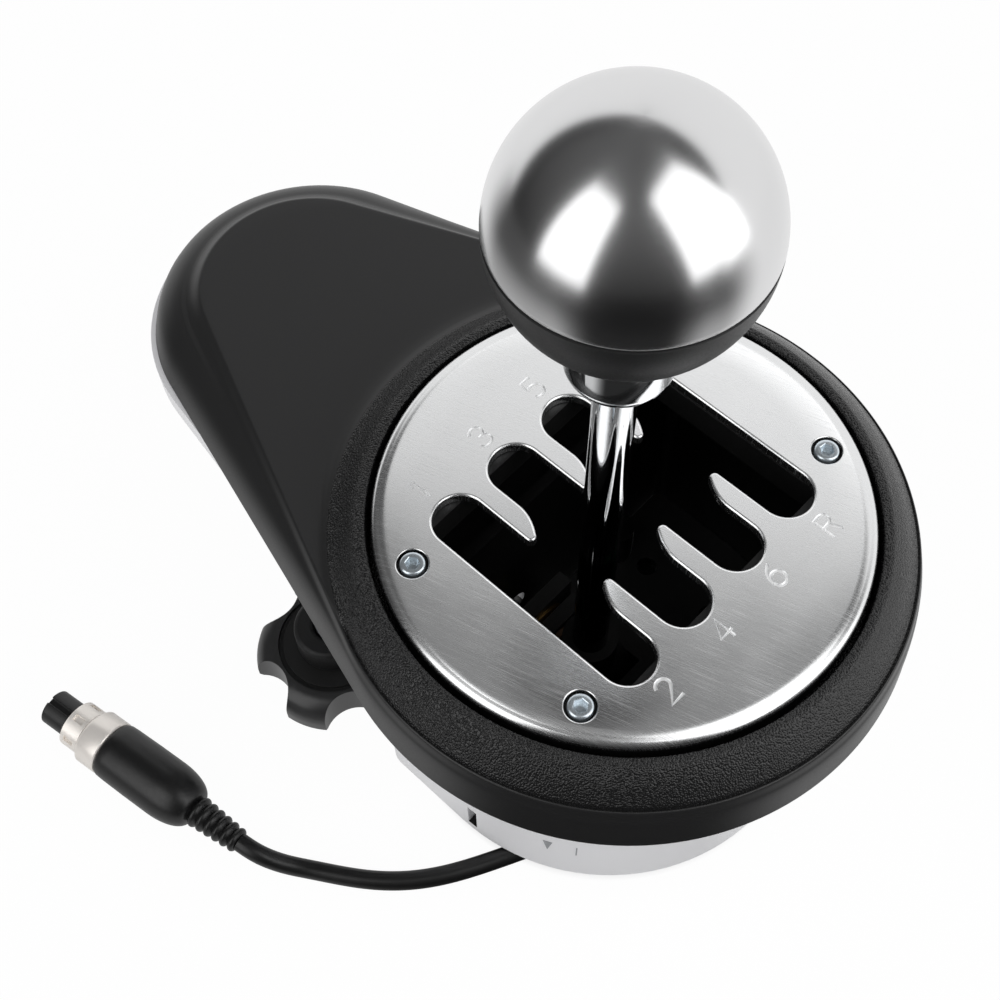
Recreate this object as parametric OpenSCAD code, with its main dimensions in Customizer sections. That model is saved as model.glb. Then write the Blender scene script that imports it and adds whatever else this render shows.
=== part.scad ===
// H-pattern gear shifter for a driving-game rig: a steel gate on a teardrop cover,
// a cast drum that holds the two-axis lever mechanism, and a table clamp under the tail.
// Millimetres, +Z up, floor at z = 0, origin on the drum's axis, +Y towards the tail.

/* [Stance] */
// Gap between the floor and the drum's rim
rim_gap = 6; // [5.8:0.1:7]
// Height of the gate's face above the floor
face_z = 105.5; // [102:0.5:112]
// Radius of the rubber feet
foot_r = 7; // [5:0.5:8]

/* [Gate] */
// Diameter of the steel gate
gate_d = 120; // [118:0.5:121]
// Thickness of the steel gate
gate_t = 3; // [2:0.5:4]
// Distance between neighbouring lanes
lane_pitch = 19.32; // [19:0.1:20]
// Width of a lane
lane_w = 13.5; // [13:0.1:14]
// Distance from the gate's centre line to the centre of a lane's round end
lane_reach = 25.7; // [25:0.1:27]
// Distance from the centre line to a finger's tip
tip_reach = 9.4; // [8.5:0.1:11]
// Length of a finger's curved flank
tip_len = 9; // [6:0.5:11]
// Radius of a finger's tip
tip_r = 1.4; // [1:0.1:1.6]
// Gap round a gate screw's head in its counterbore
head_gap = 0.6; // [0.3:0.1:1]
// Radius of a gate screw's head
gate_head_r = 3.6; // [3:0.1:4]
// Radius of a gate screw's shank
gate_shank_r = 2; // [1.5:0.1:2.2]
// Distance of the gate's screws from its rim
gate_screw_inset = 8.17; // [7.5:0.1:9]
// Angle of the gate's screws from the side
gate_screw_turn = 30; // [28:0.5:32]
// Thickness of the black spacer under the gate
spacer_t = 9; // [8:0.5:10]
// Half the width of the lever's opening below the gate
well_x = 35.5; // [35:0.1:37]
// Half the length of the lever's opening below the gate
well_y = 30.3; // [30:0.1:31]

/* [Cover] */
// Width of the groove between the gate and the cover's ring
groove_w = 2.8; // [2:0.1:3.5]
// Height of the ring's inner lip below the gate's face
lip_drop = 2; // [1:0.5:3]
// Radius of the cover's shoulder
shoulder_r = 71; // [70:0.5:72]
// Depth of the tail's flat top below the gate's face
plateau_drop = 9.5; // [8.5:0.5:10]
// Depth of the cover's lower edge below the gate's face
skirt_drop = 26.4; // [25:0.2:28]
// Radius of the cover's lower edge at the front
skirt_r = 74; // [73:0.5:76]
// Distance from the drum's axis to the centre of the tail's round end
tail_y = 111; // [105:1:116]
// Radius of the tail's flat top
tail_top_r = 29; // [27:0.5:31]
// Radius of the cover's lower edge at the tail
tail_skirt_r = 44; // [43:0.5:45]
// Wall of the cover
cover_wall = 2.5; // [2:0.1:3]

/* [Drum] */
// Radius of the drum
drum_r = 60; // [59:0.5:61]
// Distance from the axis to the drum's flat back
drum_back = 30; // [28:0.5:31]
// Radius of the drum's rear corners
drum_corner_r = 6; // [4:0.5:8]
// Wall of the drum
drum_wall = 3; // [2.5:0.1:3.5]
// Height of the silver tray under the cover
tray_h = 7; // [6:0.5:8]
// Radius of the tray at the front
tray_r = 65; // [64:0.5:66]
// Radius of the tray at the tail
tray_tail_r = 45.3; // [44.5:0.1:46]
// Thickness of the tray's floor
tray_floor = 3; // [2.5:0.1:3.5]
// Thickness of the base plate
base_t = 4; // [3:0.5:5]
// Radius of the threaded holes for a cockpit
cockpit_hole_r = 3; // [2.5:0.1:3.3]
// Distance between the cockpit holes across
cockpit_x = 68; // [66:1:70]
// Distance between the cockpit holes front to back
cockpit_y = 24; // [20:1:26]

/* [Lever] */
// Radius of the lever's rod
rod_r = 4.75; // [4.5:0.05:4.8]
// Sideways place of the lever's pivot
pivot_x = -8.8; // [-9.6:0.1:-8.2]
// Lengthways place of the lever's pivot
pivot_y = -0.5; // [-0.8:0.1:0]
// Height of the lever's pivot above the floor
pivot_z = 28.5; // [28:0.1:30]
// Radius of the ball knob
knob_r = 26.3; // [24:0.1:29]
// Height of the ball's centre above the gate's face
knob_rise = 107.4; // [100:0.1:116]
// Depth of the seam between steel and black below the ball's centre
seam_drop = 0.2; // [0.1:0.1:4]
// Wall of the ball's steel cap
cap_wall = 2.5; // [2:0.1:4]
// Radius of the chrome collar under the ball
collar_r = 11.2; // [10:0.1:12]
// Length of the chrome collar below the ball
collar_len = 18; // [13:0.5:20]
// Radius of the collar's rounded lower edge
collar_round = 4; // [2:0.5:5]
// Radius of the shift pin
pin_r = 3; // [2.5:0.1:3.2]
// Radius of the lever's hub
hub_r = 9.5; // [9:0.1:9.8]
// Running clearance of the pins
run_gap = 0.05; // [0.03:0.01:0.08]

/* [Clamp] */
// Distance from the axis to a clamp rod, across
clamp_x = 51.5; // [51:0.5:53]
// Distance from the axis to a clamp rod, towards the tail
clamp_y = 58; // [55.5:0.5:58]
// Radius of a clamp rod
clamp_rod_r = 4; // [3.5:0.1:4.2]
// Height of the star knobs' top above the floor
star_top = 25.5; // [25:0.5:28]
// Height of a star knob's grip
star_h = 12; // [10:0.5:13]
// Reach of a star knob's lobes
star_r = 22.8; // [22:0.1:24]
// Radius where a star knob's flat top ends and its domed edge begins
star_flat_r = 16; // [15:0.1:17]
// Radius of the scallops between a star knob's lobes
scallop_r = 9.3; // [8:0.1:10]
// Distance from a star knob's reach out to its scallops' centres
scallop_out = 3; // [2.5:0.1:3.5]
// Outer radius of the ring groove in a star knob's top
star_groove_r = 15.6; // [14:0.1:15.8]
// Number of lobes on a star knob
star_lobes = 5; // [4:1:6]
// Thickness of the clamp's jaw
jaw_t = 10; // [8:0.5:12]
// Thickness of the rubber pads
pad_t = 3; // [2:0.5:4]
// Clearance between a clamp rod and what slides on it
thread_gap = 0.3; // [0.2:0.05:0.4]

/* [Plug] */
// Radius of the cord
cord_r = 2.65; // [2.3:0.05:2.7]
// Radius of the plug's boot
boot_r = 8.6; // [8:0.1:9]
// Radius of the plug's insert
insert_r = 5.3; // [4.5:0.1:5.5]
// Radius of the plug's nickel shell
shell_r = 7; // [6:0.1:7.3]

/* [Hidden] */
$fn = 64;
eps = 0.01;
tail_steps = 24;
front_steps = 44;
seat_gap = 0.3;

gate_r = gate_d / 2;
gate_z = face_z - gate_t;
deck_z = gate_z - spacer_t;
deck_t = 2.5;
lip_r = gate_r + groove_w;
lip_z = face_z - lip_drop;
plateau_z = face_z - plateau_drop;
rim_z = face_z - skirt_drop;
tray_z = rim_z - tray_h;
spacer_r = gate_r - 0.5;
lane_x = [for (i = [-1.5 : 1 : 1.5]) i * lane_pitch];
finger_x = [for (i = [-1 : 1]) i * lane_pitch];
finger_w = lane_pitch - lane_w;
gate_screw_reach = gate_r - gate_screw_inset;
gate_screw_at = [for (sx = [-1, 1], sy = [-1, 1])
    gate_screw_reach * [sx * cos(gate_screw_turn), sy * sin(gate_screw_turn)]];
gate_head_h = 2.2;
gate_counterbore = 1.8;

base_bottom = rim_gap + 0.5;
base_top = base_bottom + base_t;
base_inset = drum_wall + 0.2;
boss_r = 5;
boss_bite = 1;
base_screw_r = 1.6;
base_boss_reach = drum_r - drum_wall - boss_r + boss_bite;
base_boss_y = drum_back - drum_wall - boss_r + boss_bite;
base_boss_x = 32;
base_boss_turn = 52;
base_screw_at = [
    [-base_boss_x, base_boss_y], [base_boss_x, base_boss_y],
    base_boss_reach * [-cos(base_boss_turn), -sin(base_boss_turn)],
    base_boss_reach * [cos(base_boss_turn), -sin(base_boss_turn)]
];
base_boss_len = 14;
base_thread = 8;
foot_inset = base_inset + foot_r + 1;
foot_turn = 24;
foot_rear_x = drum_r - foot_inset - 2;
foot_rear_y = drum_back - foot_inset - 1;
foot_at = [
    [-foot_rear_x, foot_rear_y], [foot_rear_x, foot_rear_y],
    (drum_r - foot_inset) * [-sin(foot_turn), -cos(foot_turn)],
    (drum_r - foot_inset) * [sin(foot_turn), -cos(foot_turn)]
];
cover_screw_r = 1.5;
cover_boss_r = 4;
tail_pad_r = 30;
pad_groove = 2;
pad_groove_pitch = 10;
cover_screw_edge = 4.5;
cover_screw_ring = tail_pad_r + cover_screw_edge;
cover_screw_turn = 40;
cover_screw_in = 9;
cover_screw_back = 28;
cover_screw_at = [
    [-cover_screw_ring * cos(cover_screw_turn), tail_y + cover_screw_ring * sin(cover_screw_turn)],
    [cover_screw_ring * cos(cover_screw_turn), tail_y + cover_screw_ring * sin(cover_screw_turn)],
    [-clamp_x + cover_screw_in, clamp_y + cover_screw_back],
    [clamp_x - cover_screw_in, clamp_y + cover_screw_back]
];
cover_thread = 5;
cover_end_gap = 1;
cover_head_h = 1.7;
gate_boss_h = 8;
ring_seat = 6;
ring_ease = 0.4;
ring_lap = 0.6;
roof_lap = 0.6;
well_gap = 1;
skirt_lift = 6.5;
skirt_ease = 0.8;
tail_ease = 2.5;
chamfer_drop = 4;
chamfer_out = 5.5;
chamfer_ease = 2;
lip_inset = 6;
flank_slot_w = 3;
flank_slot_h = 12;
flank_slot_y = -4.2;
flank_slot_z = rim_gap + 3.5;
grub_hole_r = 4;

bracket_t = 3;
upright_t = 4.5;
upright_half = 12;
upright_rim = 4;
post_x = 8;
post_up = 6;
bracket_half = 16;
bracket_z = base_top;
cradle_x = 14;
cradle_y = 16;
cradle_h = 6;
cradle_in_x = 8.4;
cradle_in_y = 11.5;
hub_half = cradle_in_x - 0.4;
neck_r = 7.5;
neck_h = 18;
rear_axle_r = 5;
front_axle_r = 4;
bush_wall = 2;
bush_rim = 0.7;
rear_y = cradle_y + bush_rim + seat_gap;
spring_wire_r = 0.8;
spring_turns = 4;
spring_pitch = 1.9;
spring_len = spring_turns * spring_pitch + 4 * spring_wire_r;
front_y = cradle_y + spring_len + 2 * seat_gap;
pad_r = 4;
pad_len = 3.2;
grub_r = 2.5;
magnet_r = 3.5;
magnet_t = 2.5;
board_t = 1.6;
board_gap = 1.5;
post_r = 2;
bracket_screw_r = 1.6;
bracket_foot = 12;
bracket_screw_at = [
    [pivot_x - bracket_foot, pivot_y - front_y - upright_t - bracket_foot / 2],
    [pivot_x + bracket_foot, pivot_y - front_y - upright_t - bracket_foot / 2],
    [pivot_x - bracket_foot, pivot_y + 4],
    [pivot_x + bracket_foot, pivot_y + 4]
];
main_board_at = [12, -36];
main_board_w = 20;
post_h = 3;

knob_z = face_z + knob_rise;
knob_flat = 23.5;
collar_top = knob_z - knob_flat;
rod_bottom = pivot_z + pin_r + 1;
rod_top = knob_z - 6;

ear_r = 7;
clamp_nut_af = 13;
clamp_nut_h = 6.5;
rod_end_z = 9;
jaw_z = star_top + 1;
star_hub_r = 8;
star_turn = 131.5;
star_bore_r = clamp_rod_r + thread_gap;
jaw_boss_r = 10;
jaw_half = 24;
jaw_end_y = 128;
jaw_rail_y = 9;

plug_end = [-107.2, 39.8];
plug_z = boot_r + 0.2;
plug_turn = 98;
relief_len = 16.2;
relief_ribs = 6;
boot_len = 31;
ring_len = 7.6;
shell_len = 6;
insert_len = 9;
pin_count = 5;

cable_turn = -30;
cable_mouth = [-56.4, -16.9];
tunnel_len = 25;
tunnel_w = 11;
tunnel_h = 9;
tunnel_wall = 2;
gland_z = base_bottom + 4.2;
gland_r = 3.5;
gland_rim_r = 4.4;
gland_in = tunnel_len + tunnel_wall + 1;

// Centre line of the cord, from the plug's strain relief to the gland
cord_route = [
    [-107.2, 39.8, 8.8],
    [-106.5, 35.0, 8.4],
    [-105.0, 31.5, 6.9],
    [-103.0, 28.0, 4.8],
    [-100.5, 24.5, 3.2],
    [-98.0, 21.0, 2.7],
    [-94.1, 14.3, 2.7],
    [-89.4, 7.2, 2.7],
    [-84.0, 0.9, 2.7],
    [-77.7, -4.6, 2.7],
    [-70.7, -9.3, 2.7],
    [-63.0, -13.4, 2.7],
    [-56.4, -16.9, 2.8],
    [-51.0, -20.0, 4.1],
    [-46.0, -22.9, 6.7],
    [-41.5, -25.5, 9.1],
    [-38.0, -27.5, 10.4],
    [-35.5, -29.0, 10.7]
];

// Two circles on the Y axis joined by their outer tangents
module teardrop(front_r, end_r) {
    lean = asin((front_r - end_r) / tail_y);
    circle(front_r);
    translate([0, tail_y]) circle(end_r);
    polygon([
        [front_r * cos(lean), front_r * sin(lean)],
        [end_r * cos(lean), tail_y + end_r * sin(lean)],
        [-end_r * cos(lean), tail_y + end_r * sin(lean)],
        [-front_r * cos(lean), front_r * sin(lean)]
    ]);
}

// Round front, straight flanks and a flat back with round corners
module drum_outline(inset) {
    r = drum_r - inset;
    back = drum_back - inset;
    corner = max(drum_corner_r - inset, 1);
    intersection() {
        circle(r);
        translate([-r, -r]) square([2 * r, r + eps]);
    }
    translate([-r, 0]) square([2 * r, back - corner]);
    translate([corner - r, 0]) square([2 * (r - corner), back]);
    for (side = [-1, 1]) translate([side * (r - corner), back - corner]) circle(corner);
}

// Outline of a teardrop at one height as a loop of points, the tail's arc first
function drop_loop(z, front_r, end_r) =
    let (lean = asin((front_r - end_r) / tail_y))
    concat(
        [for (i = [0 : tail_steps]) let (a = lean + (180 - 2 * lean) * i / tail_steps)
            [end_r * cos(a), tail_y + end_r * sin(a), z]],
        [for (i = [0 : front_steps]) let (a = 180 - lean + (180 + 2 * lean) * i / front_steps)
            [front_r * cos(a), front_r * sin(a), z]]
    );

// Solid through a stack of teardrops, each level [z, front radius, tail radius]
module drop_loft(levels) {
    n = tail_steps + front_steps + 2;
    top = (len(levels) - 1) * n;
    polyhedron(
        points = [for (l = levels) each drop_loop(l[0], l[1], l[2])],
        faces = concat(
            [[for (i = [0 : n - 1]) i]],
            [[for (i = [n - 1 : -1 : 0]) top + i]],
            [for (k = [0 : len(levels) - 2], i = [0 : n - 1])
                let (j = (i + 1) % n) each [
                    [k * n + i, (k + 1) * n + j, k * n + j],
                    [k * n + i, (k + 1) * n + i, (k + 1) * n + j]
                ]]
        )
    );
}

// One gate finger, straight on one flank and curved to its tip on the other
module finger() {
    root = lane_reach + 4;
    straight = tip_reach + tip_len;
    half = finger_w / 2;
    steps = 8;
    curve = [for (i = [0 : steps])
        let (t = i / steps)
        [half - (finger_w - 2 * tip_r) * pow(t, 2), straight - (tip_len - tip_r) * t]];
    polygon(concat([[-half, tip_reach + tip_r], [-half, root], [half, root]], curve));
    translate([tip_r - half, tip_reach + tip_r]) circle(tip_r, $fn = 24);
}

// The four lanes with their round ends, joined by the neutral channel
module gate_slots() {
    half_x = lane_x[3] + lane_w / 2;
    difference() {
        union() {
            translate([-half_x, -lane_reach]) square([2 * half_x, 2 * lane_reach]);
            for (x = lane_x, end = [-1, 1]) translate([x, end * lane_reach]) circle(lane_w / 2);
        }
        for (x = finger_x, end = [0, 180]) translate([x, 0]) rotate(end) finger();
    }
}

module at_points(points) {
    for (p = points) translate([p[0], p[1], 0]) children();
}

module at_pivot() {
    translate([pivot_x, pivot_y, pivot_z]) children();
}

// A rod along +X from x1 to x2
module rod_x(r, x1, x2) {
    translate([x1, 0, 0]) rotate([0, 90, 0]) cylinder(r = r, h = x2 - x1);
}

// A rod along +Y from y1 to y2
module rod_y(r, y1, y2) {
    translate([0, y1, 0]) rotate([-90, 0, 0]) cylinder(r = r, h = y2 - y1);
}

module rubber_feet() {
    color("#1b1b1b") at_points(foot_at) {
        cylinder(r = foot_r, h = base_bottom);
    }
}

// Frame of the cable's tunnel: +X runs inwards from the drum's rim
module at_tunnel() {
    translate([cable_mouth[0], cable_mouth[1], 0]) rotate(cable_turn) children();
}

module base_plate() {
    roof_z = base_bottom + tunnel_h;
    color("#202224") difference() {
        union() {
            translate([0, 0, base_bottom]) linear_extrude(base_t) drum_outline(base_inset);
            intersection() {
                at_tunnel() translate([0, -tunnel_w / 2 - tunnel_wall, base_bottom])
                    cube([tunnel_len + tunnel_wall, tunnel_w + 2 * tunnel_wall, tunnel_h + tunnel_wall]);
                translate([0, 0, base_bottom]) linear_extrude(2 * tunnel_h) drum_outline(base_inset);
            }
        }
        at_tunnel() translate([-10, -tunnel_w / 2, -1]) cube([10 + tunnel_len, tunnel_w, roof_z + 1]);
        at_tunnel() translate([0, 0, gland_z]) rod_x(gland_r, 0, gland_in);
        at_points(base_screw_at) translate([0, 0, base_bottom - 1]) {
            cylinder(r = base_screw_r, h = base_t + 2);
            cylinder(r = 2 * base_screw_r, h = 3);
        }
        for (sx = [-1, 1], sy = [-1, 1]) {
            translate([sx * cockpit_x / 2, sy * cockpit_y / 2, 0])
                cylinder(r = cockpit_hole_r, h = 2 * base_top);
        }
        at_points(bracket_screw_at) cylinder(r = bracket_screw_r, h = 2 * base_top);
    }
}

module base_screws() {
    color("#8d9094") at_points(base_screw_at) {
        translate([0, 0, base_bottom + 0.4]) cylinder(r = 1.85 * base_screw_r, h = 1.6);
        translate([0, 0, base_bottom + 1]) cylinder(r = base_screw_r, h = base_t + base_thread);
    }
}

module drum_housing() {
    color("#c9cbcd") difference() {
        union() {
            translate([0, 0, rim_gap]) linear_extrude(rim_z - rim_gap) drum_outline(0);
            translate([0, 0, tray_z]) linear_extrude(tray_h) teardrop(tray_r, tray_tail_r);
            for (side = [-1, 1]) translate([side * clamp_x, clamp_y, tray_z])
                cylinder(r = ear_r, h = tray_h);
        }
        difference() {
            translate([0, 0, rim_gap - 1]) linear_extrude(rim_z) drum_outline(drum_wall);
            at_points(base_screw_at) translate([0, 0, base_top]) cylinder(r = boss_r, h = base_boss_len);
        }
        difference() {
            translate([0, 0, tray_z + tray_floor]) linear_extrude(tray_h)
                teardrop(tray_r - drum_wall, tray_tail_r - drum_wall);
            translate([0, 0, rim_gap]) linear_extrude(rim_z) drum_outline(0);
            for (side = [-1, 1]) translate([side * clamp_x, clamp_y, 0]) cylinder(r = ear_r, h = rim_z);
            at_points(cover_screw_at) cylinder(r = cover_boss_r, h = rim_z);
        }
        at_points(base_screw_at) cylinder(r = base_screw_r, h = base_top + base_thread + 1);
        for (side = [-1, 1]) translate([side * clamp_x, clamp_y, 0])
            cylinder(r = clamp_rod_r, h = 2 * rim_z);
        at_points(cover_screw_at) translate([0, 0, tray_z - 1]) {
            cylinder(r = cover_screw_r, h = tray_h + 2);
            cylinder(r = 2 * cover_screw_r, h = 3);
        }
        at_pivot() rod_y(grub_hole_r, 0, 2 * drum_back);
        translate([-drum_r - drum_wall, flank_slot_y - flank_slot_w / 2, flank_slot_z])
            cube([2 * drum_wall + 1, flank_slot_w, flank_slot_h]);
    }
}

module top_cover() {
    ring_in = shoulder_r - ring_lap;
    inner_r = skirt_r - cover_wall;
    tail_inner_r = tail_skirt_r - cover_wall;
    roof_z = deck_z - deck_t + roof_lap;
    color("#1c1d1f") difference() {
        union() {
            difference() {
                drop_loft([
                    [rim_z, skirt_r, tail_skirt_r],
                    [rim_z + skirt_lift, skirt_r - skirt_ease, tail_skirt_r - tail_ease],
                    [plateau_z - chamfer_drop, skirt_r - chamfer_ease, tail_top_r + chamfer_out],
                    [plateau_z, shoulder_r, tail_top_r]
                ]);
                drop_loft([
                    [rim_z + cover_wall, inner_r - seat_gap, tail_inner_r - ring_lap],
                    [rim_z + skirt_lift, inner_r - skirt_ease, tail_inner_r - tail_ease],
                    [roof_z, inner_r - chamfer_ease, tail_top_r + chamfer_out - cover_wall]
                ]);
                translate([0, 0, rim_z - 1]) linear_extrude(cover_wall + 2)
                    polygon([for (p = drop_loop(0, tray_r - drum_wall, tray_tail_r - drum_wall - lip_inset))
                        [p[0], p[1]]]);
            }
            rotate_extrude() polygon([
                [lip_r - ring_seat, deck_z - deck_t], [ring_in, deck_z - deck_t],
                [ring_in, plateau_z + 2 * ring_ease],
                [lip_r + 3 * ring_ease, lip_z - ring_ease], [lip_r + ring_ease, lip_z],
                [lip_r - ring_seat, lip_z]
            ]);
            translate([0, 0, deck_z - deck_t]) cylinder(r = lip_r - ring_seat / 2, h = deck_t);
            at_points(gate_screw_at) translate([0, 0, deck_z - gate_boss_h])
                cylinder(r = boss_r, h = gate_boss_h);
            at_points(cover_screw_at) translate([0, 0, rim_z])
                cylinder(r = cover_boss_r, h = cover_thread + 2 * cover_end_gap);
        }
        translate([0, 0, deck_z]) cylinder(r = lip_r, h = 2 * spacer_t);
        translate([-well_x - well_gap, -well_y - well_gap, 0])
            cube([2 * well_x + 2 * well_gap, 2 * well_y + 2 * well_gap, face_z]);
        at_points(gate_screw_at) cylinder(r = gate_shank_r, h = face_z);
        at_points(cover_screw_at) cylinder(r = cover_screw_r, h = rim_z + cover_thread + cover_end_gap);
    }
}

module cover_screws() {
    color("#8d9094") at_points(cover_screw_at) {
        translate([0, 0, tray_z + seat_gap]) cylinder(r = 1.85 * cover_screw_r, h = cover_head_h);
        translate([0, 0, tray_z + cover_end_gap])
            cylinder(r = cover_screw_r, h = tray_h + cover_thread - cover_end_gap);
    }
}

module gate_plate() {
    bevel = 0.8;
    color("#b9bcbf") difference() {
        translate([0, 0, gate_z]) rotate_extrude() polygon([
            [0, 0], [gate_r, 0], [gate_r, gate_t - bevel], [gate_r - bevel, gate_t], [0, gate_t]
        ]);
        translate([0, 0, gate_z - 1]) linear_extrude(gate_t + 2) gate_slots();
        at_points(gate_screw_at) translate([0, 0, gate_z - 1]) cylinder(r = gate_shank_r, h = gate_t);
        at_points(gate_screw_at) translate([0, 0, face_z - gate_counterbore])
            cylinder(r = gate_head_r + head_gap, h = gate_t);
    }
}

module gate_spacer() {
    color("#151617") difference() {
        translate([0, 0, deck_z]) cylinder(r = spacer_r, h = spacer_t);
        translate([-well_x, -well_y, 0]) cube([2 * well_x, 2 * well_y, face_z]);
        at_points(gate_screw_at) cylinder(r = gate_shank_r, h = face_z);
    }
}

module gate_screws() {
    head_z = face_z - gate_counterbore;
    color("#c4ced4") at_points(gate_screw_at) difference() {
        union() {
            translate([0, 0, head_z]) cylinder(r = gate_head_r, h = gate_head_h);
            translate([0, 0, deck_z - gate_boss_h])
                cylinder(r = gate_shank_r, h = head_z - deck_z + gate_boss_h + gate_head_h / 2);
        }
        translate([0, 0, head_z + 1]) cylinder(r = 1.6, h = gate_head_h, $fn = 6);
    }
}

module tail_pad() {
    color("#191919") translate([0, tail_y, tray_z - pad_t]) difference() {
        cylinder(r = tail_pad_r, h = pad_t);
        for (i = [-2 : 2]) translate([-tail_pad_r, i * pad_groove_pitch - pad_groove / 2, -pad_groove / 2])
            cube([2 * tail_pad_r, pad_groove, pad_groove]);
    }
}

module pivot_bracket() {
    y1 = pivot_y - front_y - upright_t;
    y2 = pivot_y + rear_y + upright_t;
    tall = pivot_z - bracket_z + rear_axle_r + bush_wall + upright_rim;
    color("#6f757b") difference() {
        union() {
            translate([pivot_x - bracket_half, y1 - bracket_foot, bracket_z])
                cube([2 * bracket_half, y2 - y1 + bracket_foot, bracket_t]);
            for (y = [y1, y2 - upright_t]) translate([pivot_x, y, bracket_z]) {
                translate([-upright_half, 0, 0]) cube([2 * upright_half, upright_t, tall]);
            }
            for (side = [-1, 1]) at_pivot() translate([side * post_x, 0, post_up])
                rod_y(post_r, -front_y - upright_t - magnet_t - board_gap, -front_y - upright_t);
        }
        at_pivot() rod_y(front_axle_r + bush_wall, -2 * front_y, 0);
        at_pivot() rod_y(rear_axle_r + bush_wall, 0, 2 * rear_y);
        at_points(bracket_screw_at) cylinder(r = bracket_screw_r, h = 2 * bracket_z);
    }
}

module bracket_screws() {
    color("#8d9094") at_points(bracket_screw_at) {
        translate([0, 0, base_bottom + 0.5])
            cylinder(r = bracket_screw_r, h = bracket_z + bracket_t - base_bottom);
        translate([0, 0, bracket_z + bracket_t]) cylinder(r = 1.85 * bracket_screw_r, h = 1.6);
    }
}

module select_bushes() {
    color("#a9823f") at_pivot() {
        difference() {
            union() {
                rod_y(rear_axle_r + bush_wall, rear_y, rear_y + upright_t);
                rod_y(rear_axle_r + bush_wall + 1.2, rear_y - bush_rim, rear_y);
            }
            rod_y(rear_axle_r + run_gap, 0, 2 * rear_y);
        }
        difference() {
            rod_y(front_axle_r + bush_wall, -front_y - upright_t, -front_y);
            rod_y(front_axle_r + run_gap, -2 * front_y, 0);
        }
    }
}

// A six-sided wire swept along a helix about the Y axis
module select_spring() {
    steps = 8;
    sides = 6;
    coil_r = (front_axle_r + seat_gap + spring_wire_r) / cos(180 / steps);
    turn_count = spring_turns * steps;
    start_y = -cradle_y - seat_gap - 2 * spring_wire_r;
    centre = function (i) [
        coil_r * cos(360 * i / steps), start_y - spring_pitch * i / steps, coil_r * sin(360 * i / steps)
    ];
    ring = function (i) [for (s = [0 : sides - 1])
        let (a = 360 * s / sides, w = 360 * i / steps, out = spring_wire_r * cos(a))
        centre(i) + [out * cos(w), spring_wire_r * sin(a), out * sin(w)]];
    points = [for (i = [0 : turn_count]) each ring(i)];
    tube = [for (i = [0 : turn_count - 1], s = [0 : sides - 1])
        let (a = i * sides + s, b = i * sides + (s + 1) % sides)
        each [[a, b, b + sides], [a, b + sides, a + sides]]];
    ends = [
        [for (s = [sides - 1 : -1 : 0]) s],
        [for (s = [0 : sides - 1]) turn_count * sides + s]
    ];
    color("#9aa0a6") at_pivot() polyhedron(points, concat(tube, ends));
}

module select_board() {
    y2 = -front_y - upright_t - magnet_t - board_gap;
    color("#1f6b3a") at_pivot() translate([-12, y2 - board_t, -8]) cube([24, board_t, 18]);
}

module main_board() {
    near = post_r + 1;
    far = main_board_w - near;
    color("#1f6b3a") translate([main_board_at[0], main_board_at[1], base_top]) {
        translate([0, 0, post_h]) cube([main_board_w, main_board_w, board_t]);
        for (x = [near, far], y = [near, far]) translate([x, y, 0]) cylinder(r = post_r, h = post_h);
    }
}

module gimbal_cradle() {
    board_x = -cradle_x - magnet_t - board_gap - 1;
    color("#7d8389") at_pivot() difference() {
        union() {
            translate([-cradle_x, -cradle_y, -cradle_h]) cube([2 * cradle_x, 2 * cradle_y, 2 * cradle_h]);
            rod_y(rear_axle_r, cradle_y, rear_y + upright_t + 0.5);
            rod_y(front_axle_r, -front_y - upright_t - 0.5, -cradle_y);
            for (y = [-9, 9]) translate([0, y, 2]) rod_x(post_r, board_x, -cradle_x);
        }
        translate([-cradle_in_x, -cradle_in_y, -2 * cradle_h])
            cube([2 * cradle_in_x, 2 * cradle_in_y, 4 * cradle_h]);
        rod_x(pin_r + bush_wall, -2 * cradle_x, 2 * cradle_x);
        rod_y(pad_r + run_gap, 0, cradle_y - 0.5);
        rod_y(grub_r, cradle_y - 1, 3 * cradle_y);
    }
}

module shift_bushes() {
    color("#a9823f") at_pivot() for (side = [-1, 1]) difference() {
        rod_x(pin_r + bush_wall, side > 0 ? cradle_in_x : -cradle_x, side > 0 ? cradle_x : -cradle_in_x);
        rod_x(pin_r + run_gap, -2 * cradle_x, 2 * cradle_x);
    }
}

module select_magnet() {
    y2 = -front_y - upright_t - 0.5;
    color("#b8bcc0") at_pivot() rod_y(magnet_r, y2 - magnet_t, y2);
}

module shift_board() {
    board_x = -cradle_x - magnet_t - board_gap - 1;
    color("#1f6b3a") at_pivot() translate([board_x - board_t, -12, -4]) cube([board_t, 24, 12]);
}

module friction_pad() {
    y1 = hub_r + seat_gap;
    color("#4a3b2c") at_pivot() rod_y(pad_r, y1, y1 + pad_len);
}

module friction_screw() {
    y1 = hub_r + seat_gap + pad_len;
    y2 = rear_y + upright_t;
    color("#8d9094") at_pivot() difference() {
        rod_y(grub_r, y1, y2);
        translate([-grub_r, y2 - 1, -0.4]) cube([2 * grub_r, 2, 0.8]);
    }
}

module lever_hub() {
    color("#7d8389") at_pivot() difference() {
        union() {
            rod_x(hub_r, -hub_half, hub_half);
            cylinder(r = neck_r, h = neck_h);
        }
        rod_x(pin_r, -2 * hub_half, 2 * hub_half);
        translate([0, 0, pin_r + 1]) cylinder(r = rod_r, h = 2 * neck_h);
    }
}

module shift_pin() {
    color("#b8bcc0") at_pivot() rod_x(pin_r, -cradle_x - 1, cradle_x + 1);
}

module shift_magnet() {
    color("#b8bcc0") at_pivot() rod_x(magnet_r, -cradle_x - 1 - magnet_t, -cradle_x - 1);
}

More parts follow.
